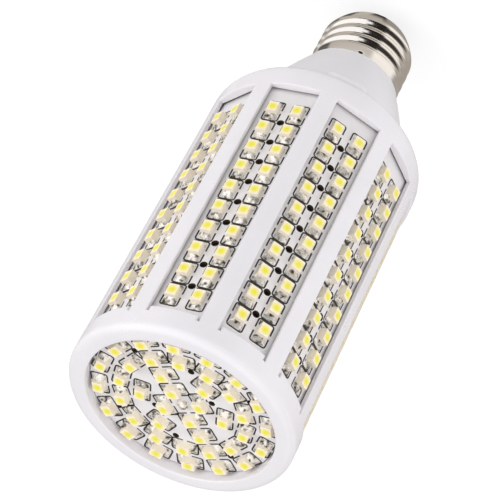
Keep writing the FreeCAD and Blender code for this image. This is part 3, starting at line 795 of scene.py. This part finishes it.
class BULB_OT_cage(BulbOperator, bpy.types.Operator):
    """Round cage with ten windows, flat strip seats and rails"""

    bl_idname = "bulb.cage"
    bl_label = "Cage"

    SIDE_STEPS = 12
    EDGE_STEPS = 3
    EDGE_APRON = 1.5
    SHOULDER_STEPS = 10
    # Steps across a slit and along its inner side
    RELIEF_STEPS = (2, 1)
    RAIL_PLAY = 0.1 * MM
    RAIL_ROOT = 0.4 * MM
    RAIL_PLATE = 1.0 * MM
    RAIL_START = 7.0 * MM

    def execute(self, context):
        sizes, colours = self.settings(context)
        points, faces = repeat_island(self.sector(sizes), STRIP_ANGLES)
        # Painted shade: the seat faces behind the strips' edges, the sector's first face group, take the
        # near-black seat colour
        islands = [(points, faces[1:], 0), (points, faces[:1], 1), (*self.rails(sizes), 0)]
        materials = [white_plastic(colours), painted_seat_shade(colours)]
        make_piece("cage", islands, materials, ["cage_housing"])
        return {"FINISHED"}

    def window_loop(self, sizes, offset):
        """Points (y, z) round a window and the slits at its front corners, grown by an offset all round."""
        half = BOARD_HIGH[1] - sizes.window_lap
        rows = led_rows(sizes)
        low = rows[0] - sizes.window_base_margin - offset
        high = rows[-1] + sizes.window_front_margin + offset
        tip = high + sizes.relief_length
        side = half + offset
        inner = half - sizes.relief_width - offset
        across, down = self.RELIEF_STEPS
        rest = COLUMNS_PER_SECTOR - 2 * (across + down)
        stops = [(-side, low), (side, low), (side, tip), (inner, tip), (inner, high)]
        stops += [(-inner, high), (-inner, tip), (-side, tip), (-side, low)]
        steps = [COLUMNS_PER_SECTOR, self.SIDE_STEPS, across, down, rest, down, across, self.SIDE_STEPS]
        return self.run_through(np.array(stops), steps)

    def run_through(self, stops, steps):
        """Points spaced evenly from each stop to the next, without the last, which is the first again."""
        spans = [
            start + (end - start) * np.linspace(0, 1, count, endpoint=False)[:, None]
            for start, end, count in zip(stops[:-1], stops[1:], steps)
        ]
        return np.vstack(spans)

    def border_loop(self, low, high):
        """Points (angle, z) round one sector between two levels."""
        half = SECTOR / 2
        stops = np.array([(-half, low), (half, low), (half, high), (-half, high), (-half, low)])
        steps = [COLUMNS_PER_SECTOR, self.SIDE_STEPS, COLUMNS_PER_SECTOR, self.SIDE_STEPS]
        return self.run_through(stops, steps)

    def sector(self, sizes):
        """One sector round strip 1. Loops run from the border of the flat seat to the window's foot, up its
        wall, over its rounded edge and out to the border on the round side, where x = sqrt(R^2 - y^2). Rows
        below and above close the sector at the shoulder, the base, the floor and the front rim."""
        reach = CAGE_HIGH[0]
        face = BOARD_HIGH[0] + sizes.seat_gap
        floor, front, base = BOARD_LOW[2], CAGE_HIGH[2], CAGE_LOW[2]
        shoulder = base + sizes.shoulder_rounding
        rounding = sizes.window_rounding

        def on_side(y, z, depth=0.0):
            return np.stack([np.sqrt(reach ** 2 - y ** 2) - depth, y, z], axis=1)

        def on_seat(y, z):
            return np.stack([np.full_like(y, face), y, z], axis=1)

        turn, level = self.border_loop(floor, front).T
        loops = [on_seat(face * np.tan(turn), level), on_seat(*self.window_loop(sizes, 0.0).T)]
        for a in np.linspace(0, math.pi / 2, self.EDGE_STEPS + 1):
            loop = self.window_loop(sizes, rounding * (1 - math.cos(a)))
            loops.append(on_side(*loop.T, rounding * (1 - math.sin(a))))
        loops.append(on_side(*self.window_loop(sizes, self.EDGE_APRON * rounding).T))
        turn, level = self.border_loop(shoulder, front).T
        loops.append(np.stack([reach * np.cos(turn), reach * np.sin(turn), level], axis=1))
        quads = grid_quads(len(loops), len(turn), False, True)
        wall = np.vstack(loops), [quads[:len(turn)], quads[len(turn):]]

        bend = sizes.shoulder_rounding
        opening = (reach - bend - sizes.base_land) * math.cos(SECTOR / 2)
        below = np.vstack([
            corner(face, floor, True),
            corner(opening, floor, True),
            corner(opening, base, True),
            arc(reach - bend, shoulder, bend, -90, 0, self.SHOULDER_STEPS),
        ])
        above = np.vstack([corner(reach, front), corner(face, front, True)])
        return self.join([wall, self.sector_rows(below), self.sector_rows(above)])

    def sector_rows(self, section):
        """Section rows carried over one sector only."""
        t = np.linspace(-SECTOR / 2, SECTOR / 2, COLUMNS_PER_SECTOR + 1)
        points = section_points(section, t)
        return points.reshape(-1, 3), [grid_quads(len(section), len(t))]

    def join(self, islands):
        """Islands as one, each face group still apart."""
        starts = np.cumsum([0] + [len(points) for points, _ in islands])
        faces = [group + start for start, (_, groups) in zip(starts, islands) for group in groups]
        return np.vstack([points for points, _ in islands]), faces

    def rails(self, sizes):
        """T rails behind the corners: a stem from the wall and a head across the backs of two strips."""
        back = BOARD_LOW[0] - self.RAIL_PLAY
        stem, head = sizes.rail_stem / 2, sizes.rail_head / 2
        sine, cosine = math.sin(SECTOR / 2), math.cos(SECTOR / 2)
        root = BOARD_HIGH[0] / cosine + self.RAIL_ROOT
        neck = (back - stem * sine) / cosine
        tip = (back - head * sine) / cosine
        inner = tip - self.RAIL_PLATE
        outline = np.array([
            (root, -stem), (root, stem), (neck, stem), (tip, head),
            (inner, head), (inner, -head), (tip, -head), (neck, -stem),
        ])
        top = led_rows(sizes)[-1] + sizes.window_front_margin
        rail = prism(outline, BOARD_LOW[2] + self.RAIL_START, top)
        return repeat_island(rail, STRIP_ANGLES + SECTOR / 2)


class BULB_OT_front_ring(BulbOperator, bpy.types.Operator):
    """Rounded end cap with the seat of the end board"""

    bl_idname = "bulb.front_ring"
    bl_label = "Front ring"

    PLAY = 0.1 * MM
    EDGE_STEPS = 10
    LIP_STEPS = 5

    def execute(self, context):
        sizes, colours = self.settings(context)
        reach, front, joint = RING_HIGH[0], RING_HIGH[2], CAGE_HIGH[2]
        rounding, lip, opening = sizes.ring_rounding, sizes.ring_lip, sizes.ring_opening
        spigot = BOARD_HIGH[0] - self.PLAY
        ledge = (opening - sizes.seat_width) * math.cos(SECTOR / 2)
        ring = turned(
            corner(spigot, RING_LOW[2], True),
            corner(spigot, joint, True),
            arc(reach - rounding, joint, rounding, 0, 90, self.EDGE_STEPS),
            arc(opening + lip, front - lip, lip, 90, 180, self.LIP_STEPS),
            corner(opening, END_LOW[2]),
            corner(ledge, END_LOW[2], True),
            corner(ledge, RING_LOW[2], True),
        )
        make_piece("front_cap", [(*ring, 0)], [white_plastic(colours)], ["front_ring"])
        return {"FINISHED"}


def perforated_plate(plan, holes, closed, low, high):
    """Plate over a grid of plan points with round holes. The grid's quads in a hole's cell give way to quads
    from the cell's border to the circle centre + radius (border - centre) / |border - centre|. Returns the
    plate and its bores as islands in (plan x, plan y, height)."""
    rows, columns = plan.shape[:2]
    index = np.arange(rows * columns).reshape(rows, columns)
    quads = grid_quads(rows, columns, False, closed).reshape(rows - 1, -1, 4)
    keep = np.ones(quads.shape[:2], bool)
    spots = [plan.reshape(-1, 2)]
    rings = []
    bores = []
    count = rows * columns
    for row, column, height, width, centre, radius in holes:
        r = np.arange(row, row + height + 1)
        c = np.arange(column, column + width + 1) % columns
        keep[np.ix_(r[:-1], c[:-1])] = False
        cell = border(index[np.ix_(r, c)])
        away = spots[0][cell] - centre
        spots.append(centre + radius * away / np.linalg.norm(away, axis=1, keepdims=True))
        loop = count + np.arange(len(cell))
        count += len(cell)
        rings.append(np.stack([cell, np.roll(cell, -1), np.roll(loop, -1), loop], axis=1))
        bores.append(loop)
    flat = np.vstack(spots)
    points = np.vstack([np.column_stack([flat, np.full(count, level)]) for level in (high, low)])
    top = np.vstack([quads[keep], *rings])
    faces = [top, top[:, ::-1] + count]
    if closed:
        outline = index[-1]
        faces += [index[:1], index[:1, ::-1] + count]
    else:
        outline = border(index)
    faces.append(wall_quads(outline, count))
    walls = [wall_quads(loop, count) for loop in bores]
    return (points, faces), (points, [np.vstack(walls)])


INK_SINK = 0.02 * MM
OUTLINE_BEND_POINTS = 4


def bracket(sizes):
    """Half of an LED's printed outline: a U of flat line with rounded corners. Each edge of the line is the
    same U with its sides and corner radius grown or shrunk by half a line's width."""
    a = np.radians(np.linspace(180, 90, OUTLINE_BEND_POINTS))
    gap = sizes.outline_gap / 2
    half, top = sizes.ink_width / 2, sizes.ink_height
    runs = []
    for shift, height in ((half, -INK_SINK), (half, top), (-half, top), (-half, -INK_SINK)):
        side = sizes.outline_width / 2 + shift
        end = sizes.outline_length / 2 + shift
        radius = sizes.outline_corner + shift
        left = np.stack([radius - side + radius * np.cos(a), end - radius + radius * np.sin(a)], axis=1)
        right = left[::-1] * (-1, 1)
        line = np.vstack([[(-side, gap)], left, right, [(side, gap)]])
        runs.append(np.column_stack([line, np.full(len(line), height)]))
    count = len(runs[0])
    ends = np.arange(len(runs))[None] * count
    faces = [grid_quads(len(runs), count, True, False), ends, ends[:, ::-1] + count - 1]
    return np.vstack(runs), faces


def outlines(sizes, origins, across, along, up):
    """Both brackets of every LED, the second one turned half way round."""
    pairs = (origins, origins), (across, -across), (along, -along), (up, up)
    return place_islands(*bracket(sizes), *(np.concatenate(pair) for pair in pairs))


def strip_places(sizes, number):
    """Origins and axes of the LEDs of one strip: two columns on its face, the long side along the axis."""
    half = LEDS_HIGH[1] - sizes.led_width / 2
    rows = led_rows(sizes)
    y, z = (part.ravel() for part in np.meshgrid([-half, half], rows))
    origins = np.stack([np.full_like(y, BOARD_HIGH[0]), y, z], axis=1)
    axes = np.array([(0.0, 1.0, 0.0), (0.0, 0.0, 1.0), (1.0, 0.0, 0.0)])
    turn = STRIP_ANGLES[number]
    return [turn_points(origins, turn)] + [np.tile(turn_points(axis, turn), (len(y), 1)) for axis in axes]


# Rings of LEDs: how many, place counted from the innermost ring, and turn as a share of their spacing
END_RINGS = ((16, 3, 0.0), (14, 2, 0.5), (6, 1, 0.5), (4, 0, 0.0))


def end_places(sizes):
    """Origins and axes of the LEDs of the end board, which lie along evenly spaced rings."""
    outer = END_HIGH[0] - sizes.outer_ring_margin
    step = (outer - sizes.centre_ring) / (len(END_RINGS) - 1)
    counts = [count for count, _, _ in END_RINGS]
    radius = np.repeat([sizes.centre_ring + place * step for _, place, _ in END_RINGS], counts)
    spots = [(np.arange(count) + offset) * TURN / count for count, _, offset in END_RINGS]
    t = np.concatenate(spots) + sizes.end_turn
    zero = np.zeros_like(t)
    outwards = np.stack([np.cos(t), np.sin(t), zero], axis=1)
    along = np.stack([-np.sin(t), np.cos(t), zero], axis=1)
    up = np.tile((0.0, 0.0, 1.0), (len(t), 1))
    return [outwards * radius[:, None] + up * END_HIGH[2], -outwards, -along, up]


class BULB_OT_strip_boards(BulbOperator, bpy.types.Operator):
    """White strip boards with their holes and printed outlines"""

    bl_idname = "bulb.strip_boards"
    bl_label = "Strip boards"

    CELL_STEPS = 6

    def execute(self, context):
        sizes, colours = self.settings(context)
        plate, bores = self.blank(sizes)
        materials = [white_board(colours), painted_shade_bore(colours), printed_ink(colours)]
        for number in range(STRIPS):
            islands = [
                (turn_points(self.upright(points), STRIP_ANGLES[number]), faces, slot)
                for slot, (points, faces) in enumerate((plate, bores))
            ]
            islands.append((*outlines(sizes, *strip_places(sizes, number)), 2))
            node = f"strip_board_{number + 1:02d}"
            make_piece(f"printed_{node}", islands, materials, [node])
        return {"FINISHED"}

    def upright(self, points):
        """Plan x, plan y and height become y, z and x."""
        return points[:, [2, 0, 1]]

    def blank(self, sizes):
        """Plate in (y, z) with one hole between each pair of LED rows, on the middle line."""
        half = sizes.via_cell / 2
        rows = led_rows(sizes)
        centres = (rows[:-1] + rows[1:]) / 2
        ticks = np.linspace(-half, half, self.CELL_STEPS + 1)
        y = np.concatenate([[BOARD_LOW[1]], ticks, [BOARD_HIGH[1]]])
        z = np.concatenate([[BOARD_LOW[2]], (centres[:, None] + ticks).ravel(), [BOARD_HIGH[2]]])
        plan = np.stack(np.meshgrid(y, z), axis=-1)
        cell = (self.CELL_STEPS, self.CELL_STEPS)
        holes = [
            (1 + i * len(ticks), 1, *cell, np.array([0.0, centre]), sizes.strip_via)
            for i, centre in enumerate(centres)
        ]
        return perforated_plate(plan, holes, False, BOARD_LOW[0], BOARD_HIGH[0])


class BULB_OT_end_board(BulbOperator, bpy.types.Operator):
    """Round white board with its holes, printed outlines and centre solder"""

    bl_idname = "bulb.end_board"
    bl_label = "End board"

    # Holes: distance from the axis in millimetres and angle on the board in degrees
    VIAS = ((19.3, 0), (19.3, 180), (19.3, 103), (19.3, 283), (13.5, 54), (13.5, 234), (8.3, 0), (8.3, 180))
    BAND_STEPS = 4
    HUB = 2.0 * MM
    DOME_GRID = (9, 32)
    # Height and radius of the dome against those of its solid
    DOME_RISE = 1.2
    DOME_SPREAD = 1.3
    DOME_POWER = 0.7
    RIPPLE = 0.05
    RIPPLE_WAVES = 3
    RIPPLE_PHASE = 0.6

    def execute(self, context):
        sizes, colours = self.settings(context)
        plate, bores = self.blank(sizes)
        islands = [(*plate, 0), (*bores, 1), (*outlines(sizes, *end_places(sizes)), 2)]
        materials = [white_board(colours), painted_shade_bore(colours), printed_ink(colours)]
        make_piece("printed_end_board", islands, materials, ["end_board"])
        make_piece("solder_dome", [(*self.dome(), 0)], [solder(colours)], ["centre_solder"])
        return {"FINISHED"}

    def blank(self, sizes):
        """Disc on a grid of rings and spokes, with fine rings where a circle of holes lies."""
        bands = sorted({place * MM for place, _ in self.VIAS})
        ticks = np.linspace(-sizes.via_cell / 2, sizes.via_cell / 2, self.BAND_STEPS + 1)
        radii = np.concatenate([[self.HUB], *[band + ticks for band in bands], [END_HIGH[0]]])
        t = round_angles()
        plan = radii[:, None, None] * np.stack([np.cos(t), np.sin(t)], axis=-1)
        holes = []
        for place, degrees in self.VIAS:
            radius, turn = place * MM, math.radians(degrees) + sizes.end_turn
            spread = sizes.via_cell / 2 / radius
            first = math.floor((turn - spread) / TURN * COLUMNS)
            width = math.ceil((turn + spread) / TURN * COLUMNS) - first
            row = 1 + bands.index(radius) * len(ticks)
            centre = radius * np.array([math.cos(turn), math.sin(turn)])
            holes.append((row, first % COLUMNS, self.BAND_STEPS, width, centre, sizes.end_via))
        return perforated_plate(plan, holes, True, END_LOW[2], END_HIGH[2])

    def dome(self):
        """Mound of solder: z = height (1 - s^2)^p over a disc of radius R s, with p a little under 1 and a
        slow ripple round its foot."""
        rows, columns = self.DOME_GRID
        height = (SOLDER_HIGH[2] - SOLDER_LOW[2]) * self.DOME_RISE
        reach = SOLDER_HIGH[0] * self.DOME_SPREAD
        s = np.linspace(1, 0, rows)[:, None]
        t = round_angles(columns)[None, :]
        radius = reach * s * (1 - self.RIPPLE * (1 + np.cos(self.RIPPLE_WAVES * t + self.RIPPLE_PHASE)))
        z = SOLDER_LOW[2] + height * (1 - s ** 2) ** self.DOME_POWER
        points = np.stack(np.broadcast_arrays(radius * np.cos(t), radius * np.sin(t), z), axis=-1)
        return points.reshape(-1, 3), [grid_quads(rows, columns, False, True), np.arange(columns)[None, ::-1]]


class BULB_OT_leds(BulbOperator, bpy.types.Operator):
    """LED packages with their phosphor and solder joints"""

    bl_idname = "bulb.leds"
    bl_label = "LEDs"

    SIDES = 16
    ACROSS = 6
    ALONG = 5
    DRAFT = 0.07 * MM
    FOOT = 0.03 * MM
    DIP = 0.08 * MM
    JOINT_LAP = 0.05 * MM
    # Distances from the lens's middle, in lens radii, that go with the points of the body and of the joints
    BODY_REACH = 1.3
    JOINT_REACH = 2.0
    # Least and most of a joint's lump, of its lean to one side and of its share of the rise
    LUMP = (0.08 * MM, 0.5 * MM)
    LEAN = (-0.6, 0.6)
    RISE = (0.8, 1.1)

    def execute(self, context):
        sizes, colours = self.settings(context)
        materials = [led_package(colours), phosphor(colours), solder(colours)]
        draws = np.random.default_rng(SEED)
        groups = [(f"strip_leds_{number + 1:02d}", strip_places(sizes, number)) for number in range(STRIPS)]
        groups.append(("end_leds", end_places(sizes)))
        points, body, lens, reach = self.package(sizes)
        for node, places in groups:
            copies, faces = place_islands(points, [*body, lens], *places)
            joints = self.joints(sizes, places, draws)
            islands = [(copies, faces[:-1], 0), (copies, faces[-1:], 1), (*joints, 2)]
            on_packages = np.tile(reach, 2 * len(places[0]))
            from_centre = np.concatenate([on_packages, np.full(len(joints[0]), self.JOINT_REACH)])
            make_piece(f"packaged_{node}", islands, materials, [node], from_centre=from_centre)
        return {"FINISHED"}

    def package(self, sizes):
        """Body and lens as loops of points: the square loop (cos t, sin t) / max(|cos t|, |sin t|) scaled
        to the foot and to the top, then a circle for the lens and its middle. Also each point's distance
        from the middle in lens radii."""
        t = round_angles(self.SIDES)
        ring = np.stack([np.cos(t), np.sin(t)], axis=1)
        square = ring / np.abs(ring).max(axis=1, keepdims=True)
        top = LEDS_HIGH[0] - BOARD_HIGH[0]
        half = np.array([sizes.led_width, sizes.led_length]) / 2
        loops = [
            (square * half, self.FOOT),
            (square * (half - self.DRAFT), top),
            (ring * sizes.lens_radius, top),
        ]
        points = [np.column_stack([loop, np.full(self.SIDES, level)]) for loop, level in loops]
        points = np.vstack([*points, [(0.0, 0.0, top - self.DIP)]])
        body = [grid_quads(len(loops), self.SIDES, False, True), np.arange(self.SIDES)[None, ::-1]]
        rim = 2 * self.SIDES + np.arange(self.SIDES)
        lens = np.stack([rim, np.roll(rim, -1), np.full(self.SIDES, len(points) - 1)], axis=1)
        reach = np.concatenate([np.full(2 * self.SIDES, self.BODY_REACH), np.ones(self.SIDES), [0.0]])
        return points, body, lens, reach

    def joints(self, sizes, places, draws):
        """Two solder joints for each LED. Over a pad, with s from -1 to 1 across it and q from 0 at the LED
        to 1 at its end, the height is rise (1 - q)^2 (1 - s^4) plus a lump sin(pi q) cos(pi s / 2) that
        leans to one side, all of uneven size."""
        origins, across, along, up = (np.concatenate([part, part]) for part in places)
        count = len(origins)
        flip = np.repeat([1.0, -1.0], count // 2)[:, None]
        s = np.linspace(-1, 1, self.ACROSS + 1)[None, None, :]
        q = np.linspace(0, 1, self.ALONG)[None, :, None]
        lump, lean, rise = (
            draws.uniform(*limits, (count, 1, 1)) for limits in (self.LUMP, self.LEAN, self.RISE)
        )
        slope = sizes.joint_rise * rise * (1 - q) ** 2 * (1 - s ** 4)
        mound = lump * np.sin(np.pi * q) * np.cos(np.pi * s / 2) * (1 + lean * s)
        foot = np.zeros((count, 1, self.ACROSS + 1))
        height = np.concatenate([foot, slope + mound], axis=1)
        start = sizes.led_length / 2 - self.JOINT_LAP
        v = np.concatenate([[start], start + (sizes.pad_end - start) * q.ravel()])[None, :, None]
        u = sizes.pad_width / 2 * s
        points = np.stack(np.broadcast_arrays(u, v, height), axis=-1).reshape(count, -1, 3)
        rows, columns = self.ALONG + 1, self.ACROSS + 1
        under = border(np.arange(rows * columns).reshape(rows, columns))
        faces = [grid_quads(rows, columns), under[None]]
        return place_islands(points, faces, origins, across * flip, along * flip, up)


class BULB_OT_inner_parts(BulbOperator, bpy.types.Operator):
    """Finishes of the driver and its wiring, whose solids stay as they are"""

    bl_idname = "bulb.inner_parts"
    bl_label = "Inner parts"

    def execute(self, context):
        _, colours = self.settings(context)
        laminate = finish("board_laminate", colours.laminate, gloss=0.5, cloud=400.0, grain=5000.0, bump=0.2)
        film = finish("film_coating", colours.film, gloss=0.25, cloud=200.0, bump=0.1)
        black = finish("resistor_lacquer", colours.black_body, gloss=0.5, cloud=600.0, bump=0.2)
        can = finish("can_sleeve", colours.can, gloss=0.3, cloud=200.0, bump=0.05)
        sleeve = finish("wire_insulation", colours.sleeve, gloss=0.4, cloud=300.0, bump=0.1)
        finishes = {
            "driver_board": laminate,
            "film_capacitor": film,
            "bleed_resistor": black,
            "bridge_rectifier": black,
            "smoothing_capacitor": can,
            "live_wire": sleeve,
            "neutral_wire": sleeve,
            "strip_feed_wires": sleeve,
            "end_feed_wires": sleeve,
            "strip_links": solder(colours),
        }
        for node, material in finishes.items():
            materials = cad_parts[node].data.materials
            materials.clear()
            materials.append(material)
        return {"FINISHED"}


class BULB_OT_studio(BulbOperator, bpy.types.Operator):
    """White floor and background, soft lamps, the backdrop that metal reflects, and the camera"""

    bl_idname = "bulb.studio"
    bl_label = "Studio"

    FLOOR_SIZE = 6.0
    # Greys of the floor as it lights the bulb and as it is seen, and the glow that makes it white
    FLOOR_PAPER = (0.8, 0.8, 0.8, 1.0)
    FLOOR_SHADE = (0.3, 0.3, 0.3, 1.0)
    FLOOR_GLOW = 0.75
    CAMERA_PLACE = (-0.30742, -0.33667, 0.46082)
    CAMERA_AIM = (0.00105, -0.00343, 0.09516)
    MIDDLE = (0.0, 0.0, 0.09)
    # Azimuth and elevation of each lamp in degrees
    LAMPS = {"key": (300.0, 32.0), "fill": (168.0, 30.0), "top": (227.0, 78.0)}
    LAMP_DISTANCE = 0.9
    LAMP_SIZE = 0.6
    BACKDROP_DISTANCE = 0.6
    BACKDROP_LIFT = 0.3 * MM
    BACKDROP_STEP = 1.5
    BACKDROP_ELEVATIONS = (-89.0, 85.0)
    LEAST_SLOPE = 0.001
    WARM = (1.0, 0.93, 0.85)
    PALE = (1.0, 0.96, 0.93)
    NEUTRAL = (1.0, 1.0, 1.03)
    # Soft fields of the backdrop from back to front: first and last azimuth, lowest and highest elevation in
    # degrees seen from the middle of the shell, soft edge, brightness and tint
    FIELDS = (
        (345.0, 405.0, -89.0, 26.0, 8.0, 0.36, WARM),
        (40.0, 160.0, -89.0, 75.0, 20.0, 0.45, WARM),
        (118.0, 250.0, 0.0, 80.0, 10.0, 0.55, WARM),
        (-20.0, 66.0, 22.0, 85.0, 6.0, 0.03, WARM),
        (238.0, 335.0, 4.0, 75.0, 6.0, 1.25, NEUTRAL),
        (118.0, 224.0, 16.0, 50.0, 7.0, 0.04, WARM),
        (204.0, 246.0, -2.0, 52.0, 8.0, 0.02, WARM),
        (216.0, 258.0, -2.0, 36.0, 9.0, 0.02, WARM),
        (264.0, 345.0, -21.0, 12.0, 6.0, 0.50, WARM),
        (204.0, 276.0, -19.0, 10.0, 7.0, 0.02, WARM),
        (206.0, 352.0, -89.0, -16.0, 10.0, 0.56, WARM),
        (148.0, 222.0, -52.0, -12.0, 14.0, 1.15, PALE),
        (140.0, 232.0, -89.0, -46.0, 6.0, 0.35, WARM),
        (306.0, 348.0, -44.0, -16.0, 10.0, 0.12, WARM),
        (286.0, 322.0, -76.0, -38.0, 9.0, 0.10, WARM),
        (216.0, 262.0, -80.0, -50.0, 12.0, 0.04, WARM),
    )

    def execute(self, context):
        studio = context.scene.bulb_studio
        context.scene.view_settings.view_transform = "Standard"
        self.sky(context.scene, studio.sky)
        self.floor()
        for name in self.LAMPS:
            self.lamp(name, getattr(studio, f"{name}_power"))
        self.backdrop()
        self.camera(context.scene, studio)
        return {"FINISHED"}

    def seen(self, tree):
        """1 for rays that look at the background: from the camera, or by way of gloss or glass."""
        rays = add_node(tree, "LightPath").outputs
        level = rays["Is Camera Ray"]
        for kind in ("Is Glossy Ray", "Is Transmission Ray"):
            level = add_node(tree, "Math", [(0, level), (1, rays[kind])], operation="MAXIMUM").outputs[0]
        return level

    def bare_material(self, name):
        """Material without a shader, and its nodes."""
        material = bpy.data.materials.new(name)
        material.use_nodes = True
        tree = material.node_tree
        tree.nodes.remove(tree.nodes["Principled BSDF"])
        return material, tree

    def sky(self, scene, strength):
        scene.world = bpy.data.worlds.new("studio_sky")
        scene.world.use_nodes = True
        tree = scene.world.node_tree
        shader = tree.nodes["Background"]
        level = add_node(
            tree, "MapRange", [("Value", self.seen(tree)), ("To Min", strength), ("To Max", 1.0)]
        )
        tree.links.new(level.outputs["Result"], shader.inputs["Strength"])
        shader.inputs["Color"].default_value = (1.0, 1.0, 1.0, 1.0)

    def floor(self):
        half = self.FLOOR_SIZE / 2
        corners = [(-half, -half, 0), (half, -half, 0), (half, half, 0), (-half, half, 0)]
        mesh = bpy.data.meshes.new("floor")
        mesh.from_pydata(corners, [], [(0, 1, 2, 3)])
        material, tree = self.bare_material("floor_paper")
        paper = add_node(tree, "BsdfDiffuse", [("Color", self.FLOOR_PAPER)])
        shade = add_node(tree, "BsdfDiffuse", [("Color", self.FLOOR_SHADE)])
        glow = add_node(tree, "Emission", [("Strength", self.FLOOR_GLOW)])
        white = add_node(tree, "AddShader", [(0, shade.outputs[0]), (1, glow.outputs[0])])
        both = add_node(
            tree, "MixShader", [(0, self.seen(tree)), (1, paper.outputs[0]), (2, white.outputs[0])]
        )
        tree.links.new(both.outputs[0], tree.nodes["Material Output"].inputs["Surface"])
        mesh.materials.append(material)
        floor = bpy.data.objects.new("floor", mesh)
        bpy.context.scene.collection.objects.link(floor)

    def lamp(self, name, watts):
        """Round lamp facing the bulb's middle, at its distance along (cos e cos a, cos e sin a, sin e)."""
        a, e = np.radians(self.LAMPS[name])
        way = np.array([np.cos(e) * np.cos(a), np.cos(e) * np.sin(a), np.sin(e)])
        light = bpy.data.lights.new(name, "AREA")
        light.shape = "DISK"
        light.size = self.LAMP_SIZE
        light.energy = watts
        lamp = bpy.data.objects.new(name, light)
        lamp.location = np.array(self.MIDDLE) + self.LAMP_DISTANCE * way
        lamp.rotation_euler = (Vector(self.MIDDLE) - lamp.location).to_track_quat("-Z", "Y").to_euler()
        lamp.visible_glossy = False
        bpy.context.scene.collection.objects.link(lamp)

    def backdrop(self):
        """Sweep round the bulb that only shows in reflections, with soft light and dark fields painted one
        over another. Seen from the axis at the shell's middle height h, the direction of elevation e meets
        it on a sphere, or on the floor at h / tan(-e) where that is nearer."""
        azimuth = np.arange(0.0, 360.0, self.BACKDROP_STEP)[None, :]
        elevation = np.arange(*self.BACKDROP_ELEVATIONS, self.BACKDROP_STEP)[:, None]
        paint = np.zeros((elevation.size, azimuth.size, 4))
        for first, last, low, high, edge, brightness, tint in self.FIELDS:
            along = (azimuth - first) % 360.0
            beside = np.minimum(along, last - first - along)
            inside = np.minimum(beside, np.minimum(elevation - low, high - elevation))
            cover = smooth_step(inside, 0.0, edge)[..., None]
            paint = paint * (1 - cover) + np.append(brightness * np.array(tint), 1.0) * cover
        a, e = np.radians(azimuth), np.radians(elevation)
        height = (SHELL_LOW[2] + SHELL_HIGH[2]) / 2
        slope = np.tan(np.maximum(-e, self.LEAST_SLOPE))
        reach = np.minimum(self.BACKDROP_DISTANCE * np.cos(e), height / slope)
        level = np.maximum(height + reach * np.tan(e), 0.0) + self.BACKDROP_LIFT
        points = np.stack(np.broadcast_arrays(reach * np.cos(a), reach * np.sin(a), level), axis=-1)
        mesh = bpy.data.meshes.new("backdrop")
        quads = grid_quads(elevation.size, azimuth.size, False, True)
        mesh.from_pydata(points.reshape(-1, 3), [], quads.tolist())
        mesh.attributes.new("paint", "FLOAT_COLOR", "POINT").data.foreach_set("color", paint.ravel())
        material, tree = self.bare_material("backdrop_paint")
        fields = add_node(tree, "Attribute", attribute_name="paint")
        bare = add_node(tree, "Math", [(0, 1.0), (1, fields.outputs["Alpha"])], operation="SUBTRACT")
        clear = add_node(tree, "BsdfTransparent", [("Color", bare.outputs[0])])
        glow = add_node(tree, "Emission", [("Color", fields.outputs["Color"])])
        both = add_node(tree, "AddShader", [(0, clear.outputs[0]), (1, glow.outputs[0])])
        tree.links.new(both.outputs[0], tree.nodes["Material Output"].inputs["Surface"])
        mesh.materials.append(material)
        backdrop = bpy.data.objects.new("backdrop", mesh)
        backdrop.visible_camera = False
        backdrop.visible_diffuse = False
        backdrop.visible_shadow = False
        bpy.context.scene.collection.objects.link(backdrop)

    def camera(self, scene, studio):
        place, aim = Vector(self.CAMERA_PLACE), Vector(self.CAMERA_AIM)
        forward = (aim - place).normalized()
        level_right = forward.cross(Vector((0, 0, 1))).normalized()
        level_up = level_right.cross(forward)
        up = math.cos(studio.roll) * level_up + math.sin(studio.roll) * level_right
        right = forward.cross(up)
        data = bpy.data.cameras.new("camera")
        data.lens = studio.focal_length
        camera = bpy.data.objects.new("camera", data)
        camera.matrix_world = Matrix((
            (right.x, up.x, -forward.x, place.x),
            (right.y, up.y, -forward.y, place.y),
            (right.z, up.z, -forward.z, place.z),
            (0, 0, 0, 1),
        ))
        scene.collection.objects.link(camera)
        scene.camera = camera


OPERATORS = (
    BULB_OT_screw_base,
    BULB_OT_collar,
    BULB_OT_cage,
    BULB_OT_front_ring,
    BULB_OT_strip_boards,
    BULB_OT_end_board,
    BULB_OT_leds,
    BULB_OT_inner_parts,
    BULB_OT_studio,
)


class BULB_PT_sidebar(bpy.types.Panel):
    """Lists the building steps of the bulb"""

    bl_idname = "BULB_PT_sidebar"
    bl_label = "Corn bulb"
    bl_space_type = "VIEW_3D"
    bl_region_type = "UI"
    bl_category = "Corn bulb"

    def draw(self, context):
        for operator in OPERATORS:
            self.layout.operator(operator.bl_idname)


CLASSES = (BulbSizes, BulbColours, StudioSettings, *OPERATORS, BULB_PT_sidebar)


def register():
    for item in CLASSES:
        bpy.utils.register_class(item)
    bpy.types.Scene.bulb_sizes = PointerProperty(type=BulbSizes)
    bpy.types.Scene.bulb_colours = PointerProperty(type=BulbColours)
    bpy.types.Scene.bulb_studio = PointerProperty(type=StudioSettings)


def unregister():
    del bpy.types.Scene.bulb_studio
    del bpy.types.Scene.bulb_colours
    del bpy.types.Scene.bulb_sizes
    for item in reversed(CLASSES):
        bpy.utils.unregister_class(item)


def main():
    register()
    for operator in OPERATORS:
        group, name = operator.bl_idname.split(".")
        getattr(getattr(bpy.ops, group), name)()


if __name__ == "__main__":
    main()
